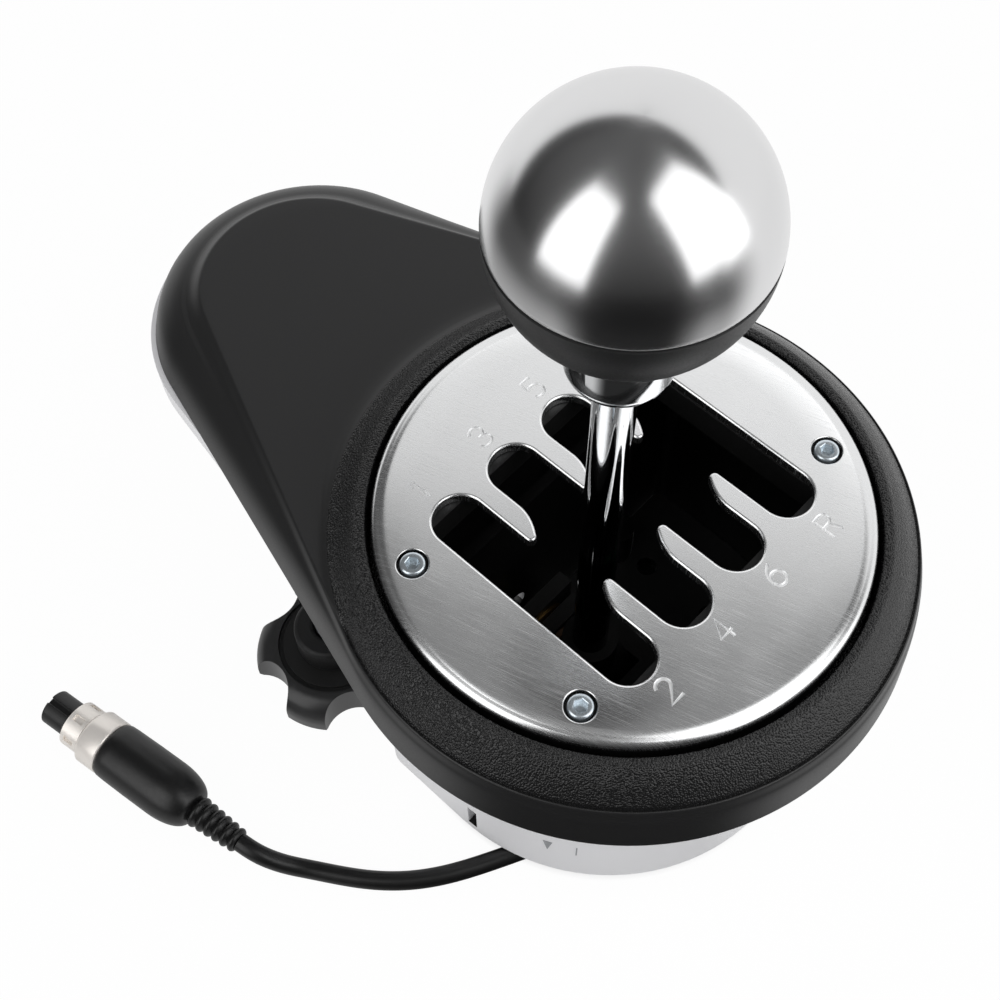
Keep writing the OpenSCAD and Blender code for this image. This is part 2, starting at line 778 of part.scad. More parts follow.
module lever_rod() {
    color("#d9dcdf") translate([pivot_x, pivot_y, rod_bottom]) cylinder(r = rod_r, h = rod_top - rod_bottom);
}

// Chrome bell between the ball and the rod
module knob_collar() {
    steps = 8;
    cup = [for (i = [0 : steps])
        let (t = 90 * i / steps)
        [collar_r - collar_round + collar_round * sin(t), collar_round * (1 - cos(t))]];
    color("#cfd3d6") translate([pivot_x, pivot_y, collar_top - collar_len]) difference() {
        rotate_extrude() polygon(concat([[0, 0]], cup, [[collar_r, collar_len], [0, collar_len]]));
        translate([0, 0, -1]) cylinder(r = rod_r, h = collar_len + 2);
    }
}

module knob_base() {
    spigot_r = knob_r - cap_wall - 6;
    color("#191a1b") translate([pivot_x, pivot_y, knob_z]) difference() {
        union() {
            difference() {
                sphere(knob_r);
                translate([0, 0, knob_r - seam_drop]) cube(2 * knob_r, center = true);
            }
            translate([0, 0, -seam_drop]) cylinder(r = spigot_r, h = seam_drop + 8);
        }
        translate([0, 0, -2 * knob_r]) cylinder(r = 2 * knob_r, h = 2 * knob_r - knob_flat);
        translate([0, 0, -2 * knob_r]) cylinder(r = rod_r, h = 2 * knob_r - 6);
    }
}

module knob_cap() {
    color("#c3c6c9") translate([pivot_x, pivot_y, knob_z]) difference() {
        sphere(knob_r);
        sphere(knob_r - cap_wall);
        translate([0, 0, -knob_r - seam_drop]) cube(2 * knob_r, center = true);
    }
}

module clamp_rods() {
    top = rim_z - seat_gap;
    color("#6a6e73") for (side = [-1, 1]) translate([side * clamp_x, clamp_y, rod_end_z])
        cylinder(r = clamp_rod_r, h = top - rod_end_z);
}

module clamp_nuts() {
    color("#8d9094") for (side = [-1, 1])
    translate([side * clamp_x, clamp_y, tray_z - clamp_nut_h]) difference() {
        cylinder(r = clamp_nut_af / sqrt(3), h = clamp_nut_h, $fn = 6);
        translate([0, 0, -1]) cylinder(r = clamp_rod_r, h = clamp_nut_h + 2);
    }
}

module clamp_jaw() {
    color("#232527") difference() {
        translate([0, 0, jaw_z]) linear_extrude(jaw_t) {
            for (side = [-1, 1]) translate([side * clamp_x, clamp_y]) circle(jaw_boss_r);
            translate([-clamp_x, clamp_y - jaw_rail_y]) square([2 * clamp_x, 2 * jaw_rail_y]);
            translate([-jaw_half, clamp_y]) square([2 * jaw_half, jaw_end_y - clamp_y - 8]);
            translate([8 - jaw_half, clamp_y]) square([2 * jaw_half - 16, jaw_end_y - clamp_y]);
            for (side = [-1, 1]) translate([side * (jaw_half - 8), jaw_end_y - 8]) circle(8);
        }
        for (side = [-1, 1]) translate([side * clamp_x, clamp_y, 0])
            cylinder(r = star_bore_r, h = 2 * jaw_z + jaw_t);
    }
}

module jaw_pad() {
    long = 44;
    color("#191919") translate([-jaw_half + 3, jaw_end_y - long - 4, jaw_z + jaw_t]) difference() {
        cube([2 * jaw_half - 6, long, pad_t]);
        for (i = [1 : 4]) translate([-1, i * long / 5 - 1, pad_t - 1]) cube([2 * jaw_half, 2, 2]);
    }
}

// Star grip: a domed disc with scallops between its lobes, a ring groove and a hub that bears on the jaw
module star_knob() {
    groove_w = 1.4;
    groove_deep = 1;
    edge_h = 4;
    foot = 1;
    steps = 8;
    dome = [for (i = [0 : steps])
        let (t = 90 * i / steps)
        [star_flat_r + (star_r - star_flat_r) * sin(t), edge_h + (star_h - edge_h) * cos(t)]];
    difference() {
        union() {
            translate([0, 0, star_top - star_h]) rotate_extrude()
                polygon(concat([[0, star_h]], dome, [[star_r, foot], [star_r - foot, 0], [0, 0]]));
            translate([0, 0, star_top]) cylinder(r = star_hub_r, h = jaw_z - star_top - seat_gap);
        }
        for (i = [0 : star_lobes - 1]) rotate(360 * (i + 0.5) / star_lobes)
            translate([star_r + scallop_out, 0, 0]) cylinder(r = scallop_r, h = 2 * star_top);
        translate([0, 0, star_top - groove_deep]) difference() {
            cylinder(r = star_groove_r, h = 2 * groove_deep);
            translate([0, 0, -groove_deep]) cylinder(r = star_groove_r - groove_w, h = 4 * groove_deep);
        }
        cylinder(r = star_bore_r, h = 3 * star_top);
    }
}

module star_knob_left() {
    color("#1d1e20") translate([-clamp_x, clamp_y, 0]) rotate(star_turn) star_knob();
}

module star_knob_right() {
    color("#1d1e20") translate([clamp_x, clamp_y, 0]) rotate(180 - star_turn) star_knob();
}

module cable_gland() {
    color("#1a1b1c") at_tunnel() translate([0, 0, gland_z]) {
        rod_x(gland_r, tunnel_len - 1, gland_in);
        rod_x(gland_rim_r, tunnel_len - 1, tunnel_len);
    }
}

// Unit vector along a
function unit(a) = a / norm(a);
// Point on a smooth curve through four neighbouring route points
function spline(a, b, c, d, t) =
    0.5 * (2 * b + (c - a) * t + (2 * a - 5 * b + 4 * c - d) * t * t + (3 * b - a - 3 * c + d) * t * t * t);

module cord() {
    sides = 10;
    last = len(cord_route) - 1;
    spot = function (i) cord_route[min(max(i, 0), last)];
    line = [for (i = [0 : last - 1], t = [0, 0.5])
        spline(spot(i - 1), spot(i), spot(i + 1), spot(i + 2), t), cord_route[last]];
    count = len(line);
    ahead = function (i) unit(line[min(i + 1, count - 1)] - line[max(i - 1, 0)]);
    ring = function (i)
        let (side = unit(cross(ahead(i), [0, 0, 1])), top = cross(side, ahead(i)))
        [for (s = [0 : sides - 1])
            let (a = 360 * s / sides)
            line[i] + cord_r * (cos(a) * side + sin(a) * top)];
    points = [for (i = [0 : count - 1]) each ring(i)];
    tube = [for (i = [0 : count - 2], s = [0 : sides - 1])
        let (a = i * sides + s, b = i * sides + (s + 1) % sides)
        each [[a, b + sides, b], [a, a + sides, b + sides]]];
    ends = [
        [for (s = [0 : sides - 1]) s],
        [for (s = [sides - 1 : -1 : 0]) (count - 1) * sides + s]
    ];
    color("#161616") polyhedron(points, concat(tube, ends));
}

// Frame of the plug: +X runs from the strain relief's end towards the tip
module at_plug() {
    translate([plug_end[0], plug_end[1], plug_z]) rotate(plug_turn) children();
}

// Turned solid about the plug's axis, from points of length and radius
module turned(profile) {
    rotate([0, 90, 0]) rotate_extrude() polygon([for (p = profile) [p[1], p[0]]]);
}

module plug_boot() {
    rib = relief_len / relief_ribs;
    neck = 4.6;
    end_r = 3.4;
    ribs = [for (i = [0 : relief_ribs - 1])
        let (r = end_r + (neck - end_r) * (i + 1) / relief_ribs)
        each [[i * rib, r], [(i + 0.6) * rib, r], [(i + 0.6) * rib, r - 0.8], [(i + 1) * rib, r - 0.8]]];
    shoulder = [for (i = [0 : 6])
        let (t = 15 * i)
        [relief_len + 11 * (1 - cos(t)), neck + (boot_r - neck) * sin(t)]];
    end = relief_len + boot_len;
    color("#1b1c1d") at_plug() turned(concat(
        [[0, 0]], ribs, shoulder, [[end - 1.5, boot_r - 0.2], [end, boot_r - 1], [end, 0]]
    ));
}

module plug_ring() {
    start = relief_len + boot_len;
    color("#c9c4b8") at_plug() difference() {
        turned([
            [start, 0], [start, boot_r - 0.3], [start + ring_len - 0.9, boot_r - 0.3],
            [start + ring_len, boot_r - 1.2], [start + ring_len, 0]
        ]);
        rod_x(insert_r + run_gap, start - 1, start + 2 * ring_len);
    }
}

module plug_shell() {
    start = relief_len + boot_len + ring_len + seat_gap;
    color("#cfcabf") at_plug() difference() {
        rod_x(shell_r, start, start + shell_len);
        rod_x(insert_r, start - 1, start + 2 * shell_len);
        for (a = [0 : 60 : 300]) rotate([a, 0, 0]) translate([start + 1.3, 0, shell_r - 0.8])
            translate([0, -1, 0]) cube([3.4, 2, 2]);
    }
}

module plug_insert() {
    start = relief_len + boot_len;
    tip = start + ring_len + seat_gap + shell_len + insert_len;
    color("#18191a") at_plug() difference() {
        rod_x(insert_r, start, tip);
        rod_x(insert_r - 1.7, tip - 6, tip + 1);
        translate([tip - insert_len + 0.4, -0.9, insert_r - 0.8]) cube([insert_len + 1, 1.8, 4]);
    }
}

module plug_pins() {
    floor_x = relief_len + boot_len + ring_len + seat_gap + shell_len + insert_len - 6;
    color("#cdb36a") at_plug() for (i = [0 : pin_count - 1]) rotate([72 * i, 0, 0])
        translate([0, 0, -2.2]) rod_x(0.5, floor_x, floor_x + 4.5);
}

rubber_feet();
base_plate();
base_screws();
drum_housing();
top_cover();
cover_screws();
gate_plate();
gate_spacer();
gate_screws();
tail_pad();
pivot_bracket();
bracket_screws();
select_bushes();
select_spring();
select_board();
main_board();
gimbal_cradle();
shift_bushes();
select_magnet();
shift_board();
friction_pad();
friction_screw();
lever_hub();
shift_pin();
shift_magnet();
lever_rod();
knob_collar();
knob_base();
knob_cap();
clamp_rods();
clamp_nuts();
clamp_jaw();
jaw_pad();
star_knob_left();
star_knob_right();
cable_gland();
cord();
plug_boot();
plug_ring();
plug_shell();
plug_insert();
plug_pins();
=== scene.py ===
# A gear shifter for a driving rig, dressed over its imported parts. Sizes are in millimetres in the
# parts' own frame: the drum's axis stands on x 0, y 0, and the floor is z 0.
import math

import bmesh
import bpy
from mathutils import Matrix, Vector


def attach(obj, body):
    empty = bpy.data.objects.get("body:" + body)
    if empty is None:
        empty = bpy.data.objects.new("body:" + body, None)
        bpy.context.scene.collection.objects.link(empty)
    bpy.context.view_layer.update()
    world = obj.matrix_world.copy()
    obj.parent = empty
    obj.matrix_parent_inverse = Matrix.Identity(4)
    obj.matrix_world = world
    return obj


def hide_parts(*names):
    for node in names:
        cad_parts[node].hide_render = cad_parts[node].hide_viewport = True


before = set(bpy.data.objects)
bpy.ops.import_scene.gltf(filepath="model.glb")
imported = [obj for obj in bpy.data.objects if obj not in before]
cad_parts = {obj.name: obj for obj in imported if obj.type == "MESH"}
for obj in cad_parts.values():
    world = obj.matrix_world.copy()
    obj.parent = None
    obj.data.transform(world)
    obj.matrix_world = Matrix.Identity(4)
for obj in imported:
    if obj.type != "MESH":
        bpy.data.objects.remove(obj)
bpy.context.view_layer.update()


# Base. A steel plate closes the drum from below and holds the rig's bolt holes and the cable's
# tunnel. It has black powder paint with a fine orange peel, zinc screws and moulded rubber feet.
mm = 0.001


def finish(name, colour, rough, metal=0.0, grain=0.6, relief=0.02, mottle=0.1, stretch=(1, 1, 1)):
    """A finish whose tone, gloss and height vary with a fine grain. Grain and relief are in mm."""
    mat = bpy.data.materials.new(name)
    mat.use_nodes = True
    nodes, links = mat.node_tree.nodes, mat.node_tree.links
    bsdf = nodes["Principled BSDF"]
    bsdf.inputs["Metallic"].default_value = metal
    where = nodes.new("ShaderNodeTexCoord")
    where.name = "where"
    fit = nodes.new("ShaderNodeMapping")
    fit.name = "fit"
    fit.inputs["Scale"].default_value = [1000 / grain / s for s in stretch]
    links.new(where.outputs["Object"], fit.inputs["Vector"])
    fine = nodes.new("ShaderNodeTexNoise")
    fine.name = "fine"
    fine.inputs["Scale"].default_value = 1.0
    fine.inputs["Detail"].default_value = 3.0
    links.new(fit.outputs["Vector"], fine.inputs["Vector"])
    broad = nodes.new("ShaderNodeTexNoise")
    broad.name = "broad"
    broad.inputs["Scale"].default_value = 60.0
    broad.inputs["Detail"].default_value = 2.0
    links.new(where.outputs["Object"], broad.inputs["Vector"])
    tone = nodes.new("ShaderNodeMix")
    tone.name = "tone"
    tone.data_type = "RGBA"
    tone.inputs[6].default_value = (*[c * (1 - mottle) for c in colour], 1)
    tone.inputs[7].default_value = (*[min(c * (1 + mottle), 1) for c in colour], 1)
    links.new(broad.outputs["Fac"], tone.inputs[0])
    links.new(tone.outputs[2], bsdf.inputs["Base Color"])
    gloss = nodes.new("ShaderNodeMapRange")
    gloss.name = "gloss"
    gloss.inputs["From Min"].default_value = 0.3
    gloss.inputs["From Max"].default_value = 0.7
    gloss.inputs["To Min"].default_value = rough * 0.88
    gloss.inputs["To Max"].default_value = min(rough * 1.12, 1)
    links.new(fine.outputs["Fac"], gloss.inputs["Value"])
    links.new(gloss.outputs["Result"], bsdf.inputs["Roughness"])
    bump = nodes.new("ShaderNodeBump")
    bump.name = "bump"
    bump.inputs["Distance"].default_value = relief * mm
    links.new(fine.outputs["Fac"], bump.inputs["Height"])
    links.new(bump.outputs["Normal"], bsdf.inputs["Normal"])
    return mat


def dress(mat, *names):
    """These parts keep their own solids and take this finish."""
    for name in names:
        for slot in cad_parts[name].material_slots:
            slot.material = mat


def piece(name, bm, mat, sharp=32):
    """A shown piece from a finished mesh, smooth but for edges over that many degrees."""
    for edge in bm.edges:
        if len(edge.link_faces) == 2 and edge.calc_face_angle() > math.radians(sharp):
            edge.smooth = False
    for face in bm.faces:
        face.smooth = True
    mesh = bpy.data.meshes.new(name)
    bm.to_mesh(mesh)
    bm.free()
    mesh.materials.append(mat)
    obj = bpy.data.objects.new(name, mesh)
    bpy.context.collection.objects.link(obj)
    return obj


def eased(node, width, mat, body="root"):
    """The part's own solid with its edges broken by that many mm, as on a deburred or moulded piece."""
    bm = bmesh.new()
    bm.from_mesh(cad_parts[node].data)
    bmesh.ops.remove_doubles(bm, verts=bm.verts, dist=2e-5)
    bmesh.ops.dissolve_limit(bm, angle_limit=math.radians(0.5), verts=bm.verts, edges=bm.edges)
    obj = piece(node + "_eased", bm, mat)
    edge = obj.modifiers.new("broken edges", "BEVEL")
    edge.width = width * mm
    edge.segments = 3
    edge.limit_method = "ANGLE"
    edge.angle_limit = math.radians(34)
    flat = obj.modifiers.new("flat faces", "WEIGHTED_NORMAL")
    flat.keep_sharp = True
    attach(obj, body)
    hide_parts(node)
    return obj


powder_paint = finish("powder paint", (0.010, 0.010, 0.0105), 0.42, grain=0.5, relief=0.02)
rubber = finish("foot rubber", (0.012, 0.012, 0.012), 0.70, grain=0.25, relief=0.015, mottle=0.2)
zinc = finish("zinc plate", (0.74, 0.81, 0.86), 0.30, metal=0.92, grain=0.3, relief=0.003)
eased("base_plate", 0.5, powder_paint)
dress(rubber, "rubber_feet")
dress(zinc, "base_screws", "cover_screws", "bracket_screws", "friction_screw")


# Drum. One light alloy casting: the round body and the tray under the cover's tail. It has satin
# silver paint outside and bears two small printed setting marks. Its inward faces, and the tray's
# upward faces short of the tail's end, are painted near black and not metal as painted shade.
def feed(tree, sockets, given):
    """Numbers are set on these sockets, and results of other nodes are linked to them."""
    for socket, value in zip(sockets, given):
        if isinstance(value, bpy.types.NodeSocket):
            tree.links.new(value, socket)
        else:
            socket.default_value = value


def worked(tree, kind, operation, *given):
    """The result of one Math or VectorMath node."""
    node = tree.nodes.new("ShaderNode" + kind)
    node.operation = operation
    feed(tree, node.inputs, given)
    return node.outputs["Value" if operation in ("LENGTH", "DOT_PRODUCT") else 0]


def ramped(tree, value, start, end, first=0.0, last=1.0, soft=False):
    """A value that goes from first to last between start and end, and is held beyond them."""
    node = tree.nodes.new("ShaderNodeMapRange")
    if soft:
        node.interpolation_type = "SMOOTHSTEP"
    feed(tree, node.inputs, (value, start, end, first, last))
    return node.outputs["Result"]


def mixed(tree, share, one, other):
    """A colour between one and the other."""
    node = tree.nodes.new("ShaderNodeMix")
    node.data_type = "RGBA"
    feed(tree, (node.inputs[0], node.inputs[6], node.inputs[7]), (share, one, other))
    return node.outputs[2]


def along(tree, vector, axis):
    """One coordinate of a vector."""
    node = tree.nodes.new("ShaderNodeSeparateXYZ")
    tree.links.new(vector, node.inputs["Vector"])
    return node.outputs[axis]


silver_paint = finish("silver paint", (0.86, 0.86, 0.87), 0.32, metal=0.12, grain=0.18, relief=0.003, mottle=0.02)
tree, paint = silver_paint.node_tree, silver_paint.node_tree.nodes["Principled BSDF"].inputs
spot = tree.nodes["where"].outputs["Object"]
facing = tree.nodes.new("ShaderNodeNewGeometry").outputs["True Normal"]
radial = worked(tree, "VectorMath", "NORMALIZE", worked(tree, "VectorMath", "MULTIPLY", spot, (1, 1, 0)))
inside = worked(tree, "Math", "LESS_THAN", worked(tree, "VectorMath", "DOT_PRODUCT", facing, radial), -0.2)
ahead = worked(tree, "Math", "LESS_THAN", along(tree, spot, "Y"), 0.09)
up_side = worked(tree, "Math", "GREATER_THAN", along(tree, facing, "Z"), 0.5)
tray_top = worked(tree, "Math", "MULTIPLY", up_side, ahead)
# Painted shade: inward faces, and upward faces short of y 90 mm, take a near-black colour and lose their metal.
drum_painted_shade = worked(tree, "Math", "MAXIMUM", tray_top, inside)
tree.links.new(worked(tree, "Math", "MULTIPLY_ADD", drum_painted_shade, -0.12, 0.12), paint["Metallic"])
tree.links.new(mixed(tree, drum_painted_shade, tree.nodes["tone"].outputs[2], (0.002, 0.002, 0.002, 1)), paint["Base Color"])
dress(silver_paint, "drum_housing")

mark_ink = finish("mark ink", (0.30, 0.31, 0.32), 0.5, grain=0.2, relief=0.002)
mark_r, mark_low, mark_high = 60.05, 22.2, 28.8
bm = bmesh.new()
for turn, wide_low, wide_high in ((-154.0, 0.15, 2.6), (-146.5, 0.35, 0.35)):
    rows = []
    for k in range(7):
        z = mark_low + (mark_high - mark_low) * k / 6
        half = (wide_low + (wide_high - wide_low) * k / 6) / 2
        spots = [math.radians(turn) + half * s / 3 / 60 for s in range(-3, 4)]
        rows.append([bm.verts.new(Vector((mark_r * math.cos(a), mark_r * math.sin(a), z)) * mm) for a in spots])
    for a, b in zip(rows, rows[1:]):
        for s in range(6):
            bm.faces.new((a[s], a[s + 1], b[s + 1], b[s]))
marks = piece("drum_marks", bm, mark_ink)
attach(marks, "root")

# Lever mechanism. A steel bracket carries a cast cradle on bronze bushes, and the lever's hub tilts
# in the cradle. Magnets and small boards read both tilts. It shows only as shadow in the gate's lanes.
dress(finish("blackened steel", (0.004, 0.004, 0.004), 0.6, grain=0.4, relief=0.006), "pivot_bracket", "shift_pin")
dress(finish("bush bronze", (0.42, 0.26, 0.09), 0.35, metal=1.0, grain=0.4, relief=0.004),
      "select_bushes", "shift_bushes")
dress(finish("spring steel", (0.05, 0.05, 0.055), 0.35, metal=0.8, grain=0.3, relief=0.003), "select_spring")
dress(finish("board lacquer", (0.004, 0.030, 0.013), 0.40, grain=0.8, relief=0.010, mottle=0.25),
      "select_board", "shift_board", "main_board")
dress(finish("black cast zinc", (0.004, 0.004, 0.004), 0.6, grain=0.5, relief=0.020), "gimbal_cradle", "lever_hub")
dress(finish("magnet nickel", (0.66, 0.64, 0.60), 0.18, metal=1.0, grain=0.5, relief=0.002),
      "select_magnet", "shift_magnet")
dress(finish("friction lining", (0.10, 0.055, 0.03), 0.80, grain=0.3, relief=0.030, mottle=0.3), "friction_pad")


# Table clamp. Two threaded rods hang from the tray and carry a painted jaw with grooved rubber pads.
# Star knobs of glossy black plastic run on the rods below it and draw it up to the table's edge.
def threaded(name, x, y, low, high, r, pitch, mat):
    """A rod with a cut thread: the surface dips and rises along a helix of that pitch."""
    bm = bmesh.new()
    around, per_turn, depth = 24, 6, 0.55
    count = int((high - low) / pitch * per_turn)
    rows = []
    for k in range(count + 1):
        z = low + (high - low) * k / count
        row = []
        for s in range(around):
            t = (z / pitch - s / around) % 1
            lead = min((z - low) / 1.2, (high - z) / 1.2, 1)
            dip = depth * abs(2 * t - 1) * lead + 0.6 * (1 - lead)
            a = 2 * math.pi * s / around
            row.append(bm.verts.new(Vector((x + (r - dip) * math.cos(a), y + (r - dip) * math.sin(a), z)) * mm))
        rows.append(row)
    for a, b in zip(rows, rows[1:]):
        for s in range(around):
            bm.faces.new((a[s], a[s - around + 1], b[s - around + 1], b[s]))
    bm.faces.new(rows[0][::-1])
    bm.faces.new(rows[-1])
    return piece(name, bm, mat, sharp=60)


rod_steel = finish("rod steel", (0.33, 0.34, 0.36), 0.32, metal=1.0, grain=0.3, relief=0.004)
rod_x, rod_y, rod_low, rod_high, rod_r, rod_pitch = 51.5, 58, 9, 78.8, 4, 1.25
threads = [threaded(name, x, rod_y, rod_low, rod_high, rod_r, rod_pitch, rod_steel)
           for name, x in (("clamp_rod_left", -rod_x), ("clamp_rod_right", rod_x))]
for rod in threads:
    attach(rod, "root")
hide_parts("clamp_rods")
eased("clamp_nuts", 0.5, zinc)
# Black paint, made darker than the base's powder paint as painted shade for the cover's shadow over the jaw.
jaw_paint_and_shade = finish("jaw paint and shade", (0.004, 0.004, 0.0042), 0.55, grain=0.5, relief=0.02)
eased("clamp_jaw", 1.2, jaw_paint_and_shade, "jaw")
eased("jaw_pad", 0.5, rubber, "jaw")
eased("tail_pad", 0.4, rubber)
star_plastic = finish("star plastic", (0.021, 0.021, 0.0213), 0.31, grain=1.2, relief=0.004)
tree, paint = star_plastic.node_tree, star_plastic.node_tree.nodes["Principled BSDF"].inputs
# Painted shade: within about 15 mm of each rod the knobs are near black and rough, standing for the shade under the
# cover.
one_side = worked(tree, "VectorMath", "ABSOLUTE", tree.nodes["where"].outputs["Object"])
from_rod = worked(tree, "VectorMath", "MULTIPLY_ADD", one_side, (1, 1, 0), (-rod_x * mm, -rod_y * mm, 0))
rim_beyond_painted_shade = ramped(tree, worked(tree, "VectorMath", "LENGTH", from_rod), 0.0148, 0.0162)
tree.links.new(mixed(tree, rim_beyond_painted_shade, (0.003, 0.003, 0.003, 1), tree.nodes["tone"].outputs[2]), paint["Base Color"])
tree.links.new(ramped(tree, rim_beyond_painted_shade, 0.0, 1.0, 0.7, 0.31), paint["Roughness"])
eased("star_knob_left", 1.1, star_plastic, "star_left")
eased("star_knob_right", 1.1, star_plastic, "star_right")

# Cover. A black moulding in one piece: a pebbled ring round the gate, a flat satin tail and a smooth
# wall that leans out to its lower edge. It is screwed to the tray from below.
tail_y, tail_steps, flank_steps, front_steps = 111, 44, 24, 120
top_r, tail_top_r, crease_r = 71.45, 28.3, 71.3
ring_lean = math.asin((top_r - tail_top_r) / tail_y)


def spread(a, b, n):
    """From a to b in n equal steps, with both ends."""
    return [a + (b - a) * k / n for k in range(n + 1)]


def drop_outline(front_r, tail_r):
    """Two circles joined by their tangents, from the tail's arc by the left flank round to the right flank."""
    lean = math.asin((front_r - tail_r) / tail_y)
    tail = [(tail_r * math.cos(a), tail_y + tail_r * math.sin(a)) for a in spread(lean, math.pi - lean, tail_steps)]
    front = [(front_r * math.cos(a), front_r * math.sin(a))
             for a in spread(math.pi - lean, 2 * math.pi + lean, front_steps)]

    def flank(p, q):
        return [(p[0] + (q[0] - p[0]) * k / (flank_steps + 1), p[1] + (q[1] - p[1]) * k / (flank_steps + 1))
                for k in range(1, flank_steps + 1)]

    return tail + flank(tail[-1], front[0]) + front + flank(front[-1], tail[0])


def ring_outline(r):
    """A circle with its points in the same order as a drop outline's."""
    back = spread(ring_lean, math.pi - ring_lean, 2 * flank_steps + tail_steps + 2)[1:-1]
    front = spread(math.pi - ring_lean, 2 * math.pi + ring_lean, front_steps)
    split = flank_steps + tail_steps + 1
    turns = back[flank_steps:split] + back[split:] + front + back[:flank_steps]
    return [(r * math.cos(a), r * math.sin(a)) for a in turns]


def loft(name, rows, mat, sharp=50):
    """A closed skin over rows of points with equal counts, in mm, where the last row meets the first."""
    bm = bmesh.new()
    made = [[bm.verts.new(Vector(p) * mm) for p in row] for row in rows]
    n = len(made[0])
    for a, b in zip(made, made[1:] + made[:1]):
        for s in range(n):
            bm.faces.new((a[s], a[s - n + 1], b[s - n + 1], b[s]))
    bmesh.ops.recalc_face_normals(bm, faces=bm.faces)
    return piece(name, bm, mat, sharp)


def ring_height(r):
    """Height of the pebbled ring: a flat lip, then a slightly domed cone."""
    if r < 64.2:
        return 103.5 - 0.35 * max(0, (r - 63.4) / 0.8) ** 2
    t = (r - 64.2) / (70.6 - 64.2)
    return 103.15 - 6.4 * t + 0.5 * math.sin(math.pi * t)


plateau = drop_outline(top_r, tail_top_r)
crease = ring_outline(crease_r)
openness = []
for p, q in zip(plateau, crease):
    t = min(max((math.hypot(p[0] - q[0], p[1] - q[1]) - 0.6) / 8, 0), 1)
    openness.append(t * t * (3 - 2 * t))


def hollow(r):
    """Height of the soft cove between the ring and the tail's flat top."""
    return 96 + 0.061 * max(75.5 - r, 0) ** 2


def ring_row(r, front_z, cove=True):
    """A circle whose back part runs in a soft cove to the tail's flat top."""
    back_z = front_z
    if cove:
        back_z = min(front_z, hollow(r)) if r < 67.5 else hollow(r)
    return [(x, y, front_z + (back_z - front_z) * w) for (x, y), w in zip(ring_outline(r), openness)]


rows = [ring_row(r, z, False)
        for r, z in ((50, 91), (50, 93.5), (60.8, 93.5), (61.25, 93.7), (61.4, 94.2), (61.4, 102.8), (61.48, 103.15),
                     (61.7, 103.42), (62.0, 103.5), (63.4, 103.5))]
rows += [ring_row(r, ring_height(r)) for r in (63.9, 64.5, 65.3, 66.1, 66.9, 67.7, 68.5, 69.2, 69.8, 70.3)]
rows += [ring_row(r, z) for r, z in ((70.6, 96.75), (70.78, 96.35), (70.92, 95.95), (71.1, 95.7))]
for t in (0.03, 0.07, 0.12, 0.18, 0.26, 0.35, 0.46, 0.58, 0.70, 0.82, 0.92, 1.0):
    row = []
    for p, q, w in zip(plateau, crease, openness):
        x, y = q[0] + (p[0] - q[0]) * t, q[1] + (p[1] - q[1]) * t
        row.append((x, y, (95.72 + 0.28 * t) * (1 - w) + hollow(math.hypot(x, y)) * w))
    rows.append(row)
wall = ((71.6, 28.7, 95.95), (71.78, 29.1, 95.75), (71.92, 29.6, 95.4), (72.1, 30.5, 94.55), (72.25, 31.3, 93.85),
        (72.38, 32.1, 93.35), (72.5, 33.0, 93.0), (72.65, 34.2, 92.65), (72.8, 35.7, 92.1), (72.95, 37.3, 91.2),
        (73.1, 38.9, 90.0), (73.25, 40.4, 88.4), (73.4, 41.6, 86.5), (73.55, 42.6, 84.2), (73.72, 43.3, 81.8),
        (73.86, 43.75, 80.2), (73.9, 43.85, 79.75), (73.82, 43.8, 79.4), (73.6, 43.6, 79.18), (73.2, 43.2, 79.1),
        (70, 40.5, 79.1), (62.1, 36.4, 79.1), (62.1, 36.4, 81.6), (70.4, 38.4, 81.6), (69.4, 32, 90.4))
rows += [[(x, y, z) for x, y in drop_outline(front_r, tail_r)] for front_r, tail_r, z in wall]
rows += [ring_row(62, 91, False)]
cover_moulding = finish("cover moulding", (0.0075, 0.0075, 0.0077), 0.26, grain=0.35, relief=0.005, mottle=0.05)
tree, paint = cover_moulding.node_tree, cover_moulding.node_tree.nodes["Principled BSDF"].inputs


def off_axis(tree):
    """How far a point is from the drum's axis."""
    spot = tree.nodes["where"].outputs["Object"]
    return worked(tree, "VectorMath", "LENGTH", worked(tree, "VectorMath", "MULTIPLY", spot, (1, 1, 0)))


reach = off_axis(tree)
pebble, leather = tree.nodes.new("ShaderNodeTexVoronoi"), tree.nodes.new("ShaderNodeBump")
pebble.feature = "SMOOTH_F1"
pebble.inputs["Scale"].default_value = 2200.0
pebble.inputs["Smoothness"].default_value = 0.4
leather.invert = True
leather.inputs["Distance"].default_value = 0.00023
pebbled = ramped(tree, reach, 0.0718, 0.0704, soft=True)
tree.links.new(tree.nodes["where"].outputs["Object"], pebble.inputs["Vector"])
tree.links.new(worked(tree, "Math", "MULTIPLY", pebble.outputs["Distance"], pebbled), leather.inputs["Height"])
tree.links.new(tree.nodes["bump"].outputs["Normal"], leather.inputs["Normal"])
tree.links.new(leather.outputs["Normal"], paint["Normal"])
# Off the ring the moulding is rougher and lighter in colour, twice as much on upward faces; that extra lightness on
# upward faces is painted light.
facing = tree.nodes.new("ShaderNodeNewGeometry").outputs["True Normal"]
level_top = ramped(tree, along(tree, facing, "Z"), 0.93, 0.99, soft=True)
off_ring = worked(tree, "Math", "GREATER_THAN", reach, 0.0712)
satin_and_top_light = worked(tree, "Math", "MULTIPLY", worked(tree, "Math", "MULTIPLY_ADD", level_top, 0.5, 0.5), off_ring)
tree.links.new(worked(tree, "Math", "MULTIPLY_ADD", satin_and_top_light, 0.26, tree.nodes["gloss"].outputs["Result"]),
               paint["Roughness"])
tree.links.new(mixed(tree, satin_and_top_light, tree.nodes["tone"].outputs[2], (0.0175, 0.0175, 0.0177, 1)), paint["Base Color"])
cover = loft("cover_shell", rows, cover_moulding)
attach(cover, "root")
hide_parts("top_cover")

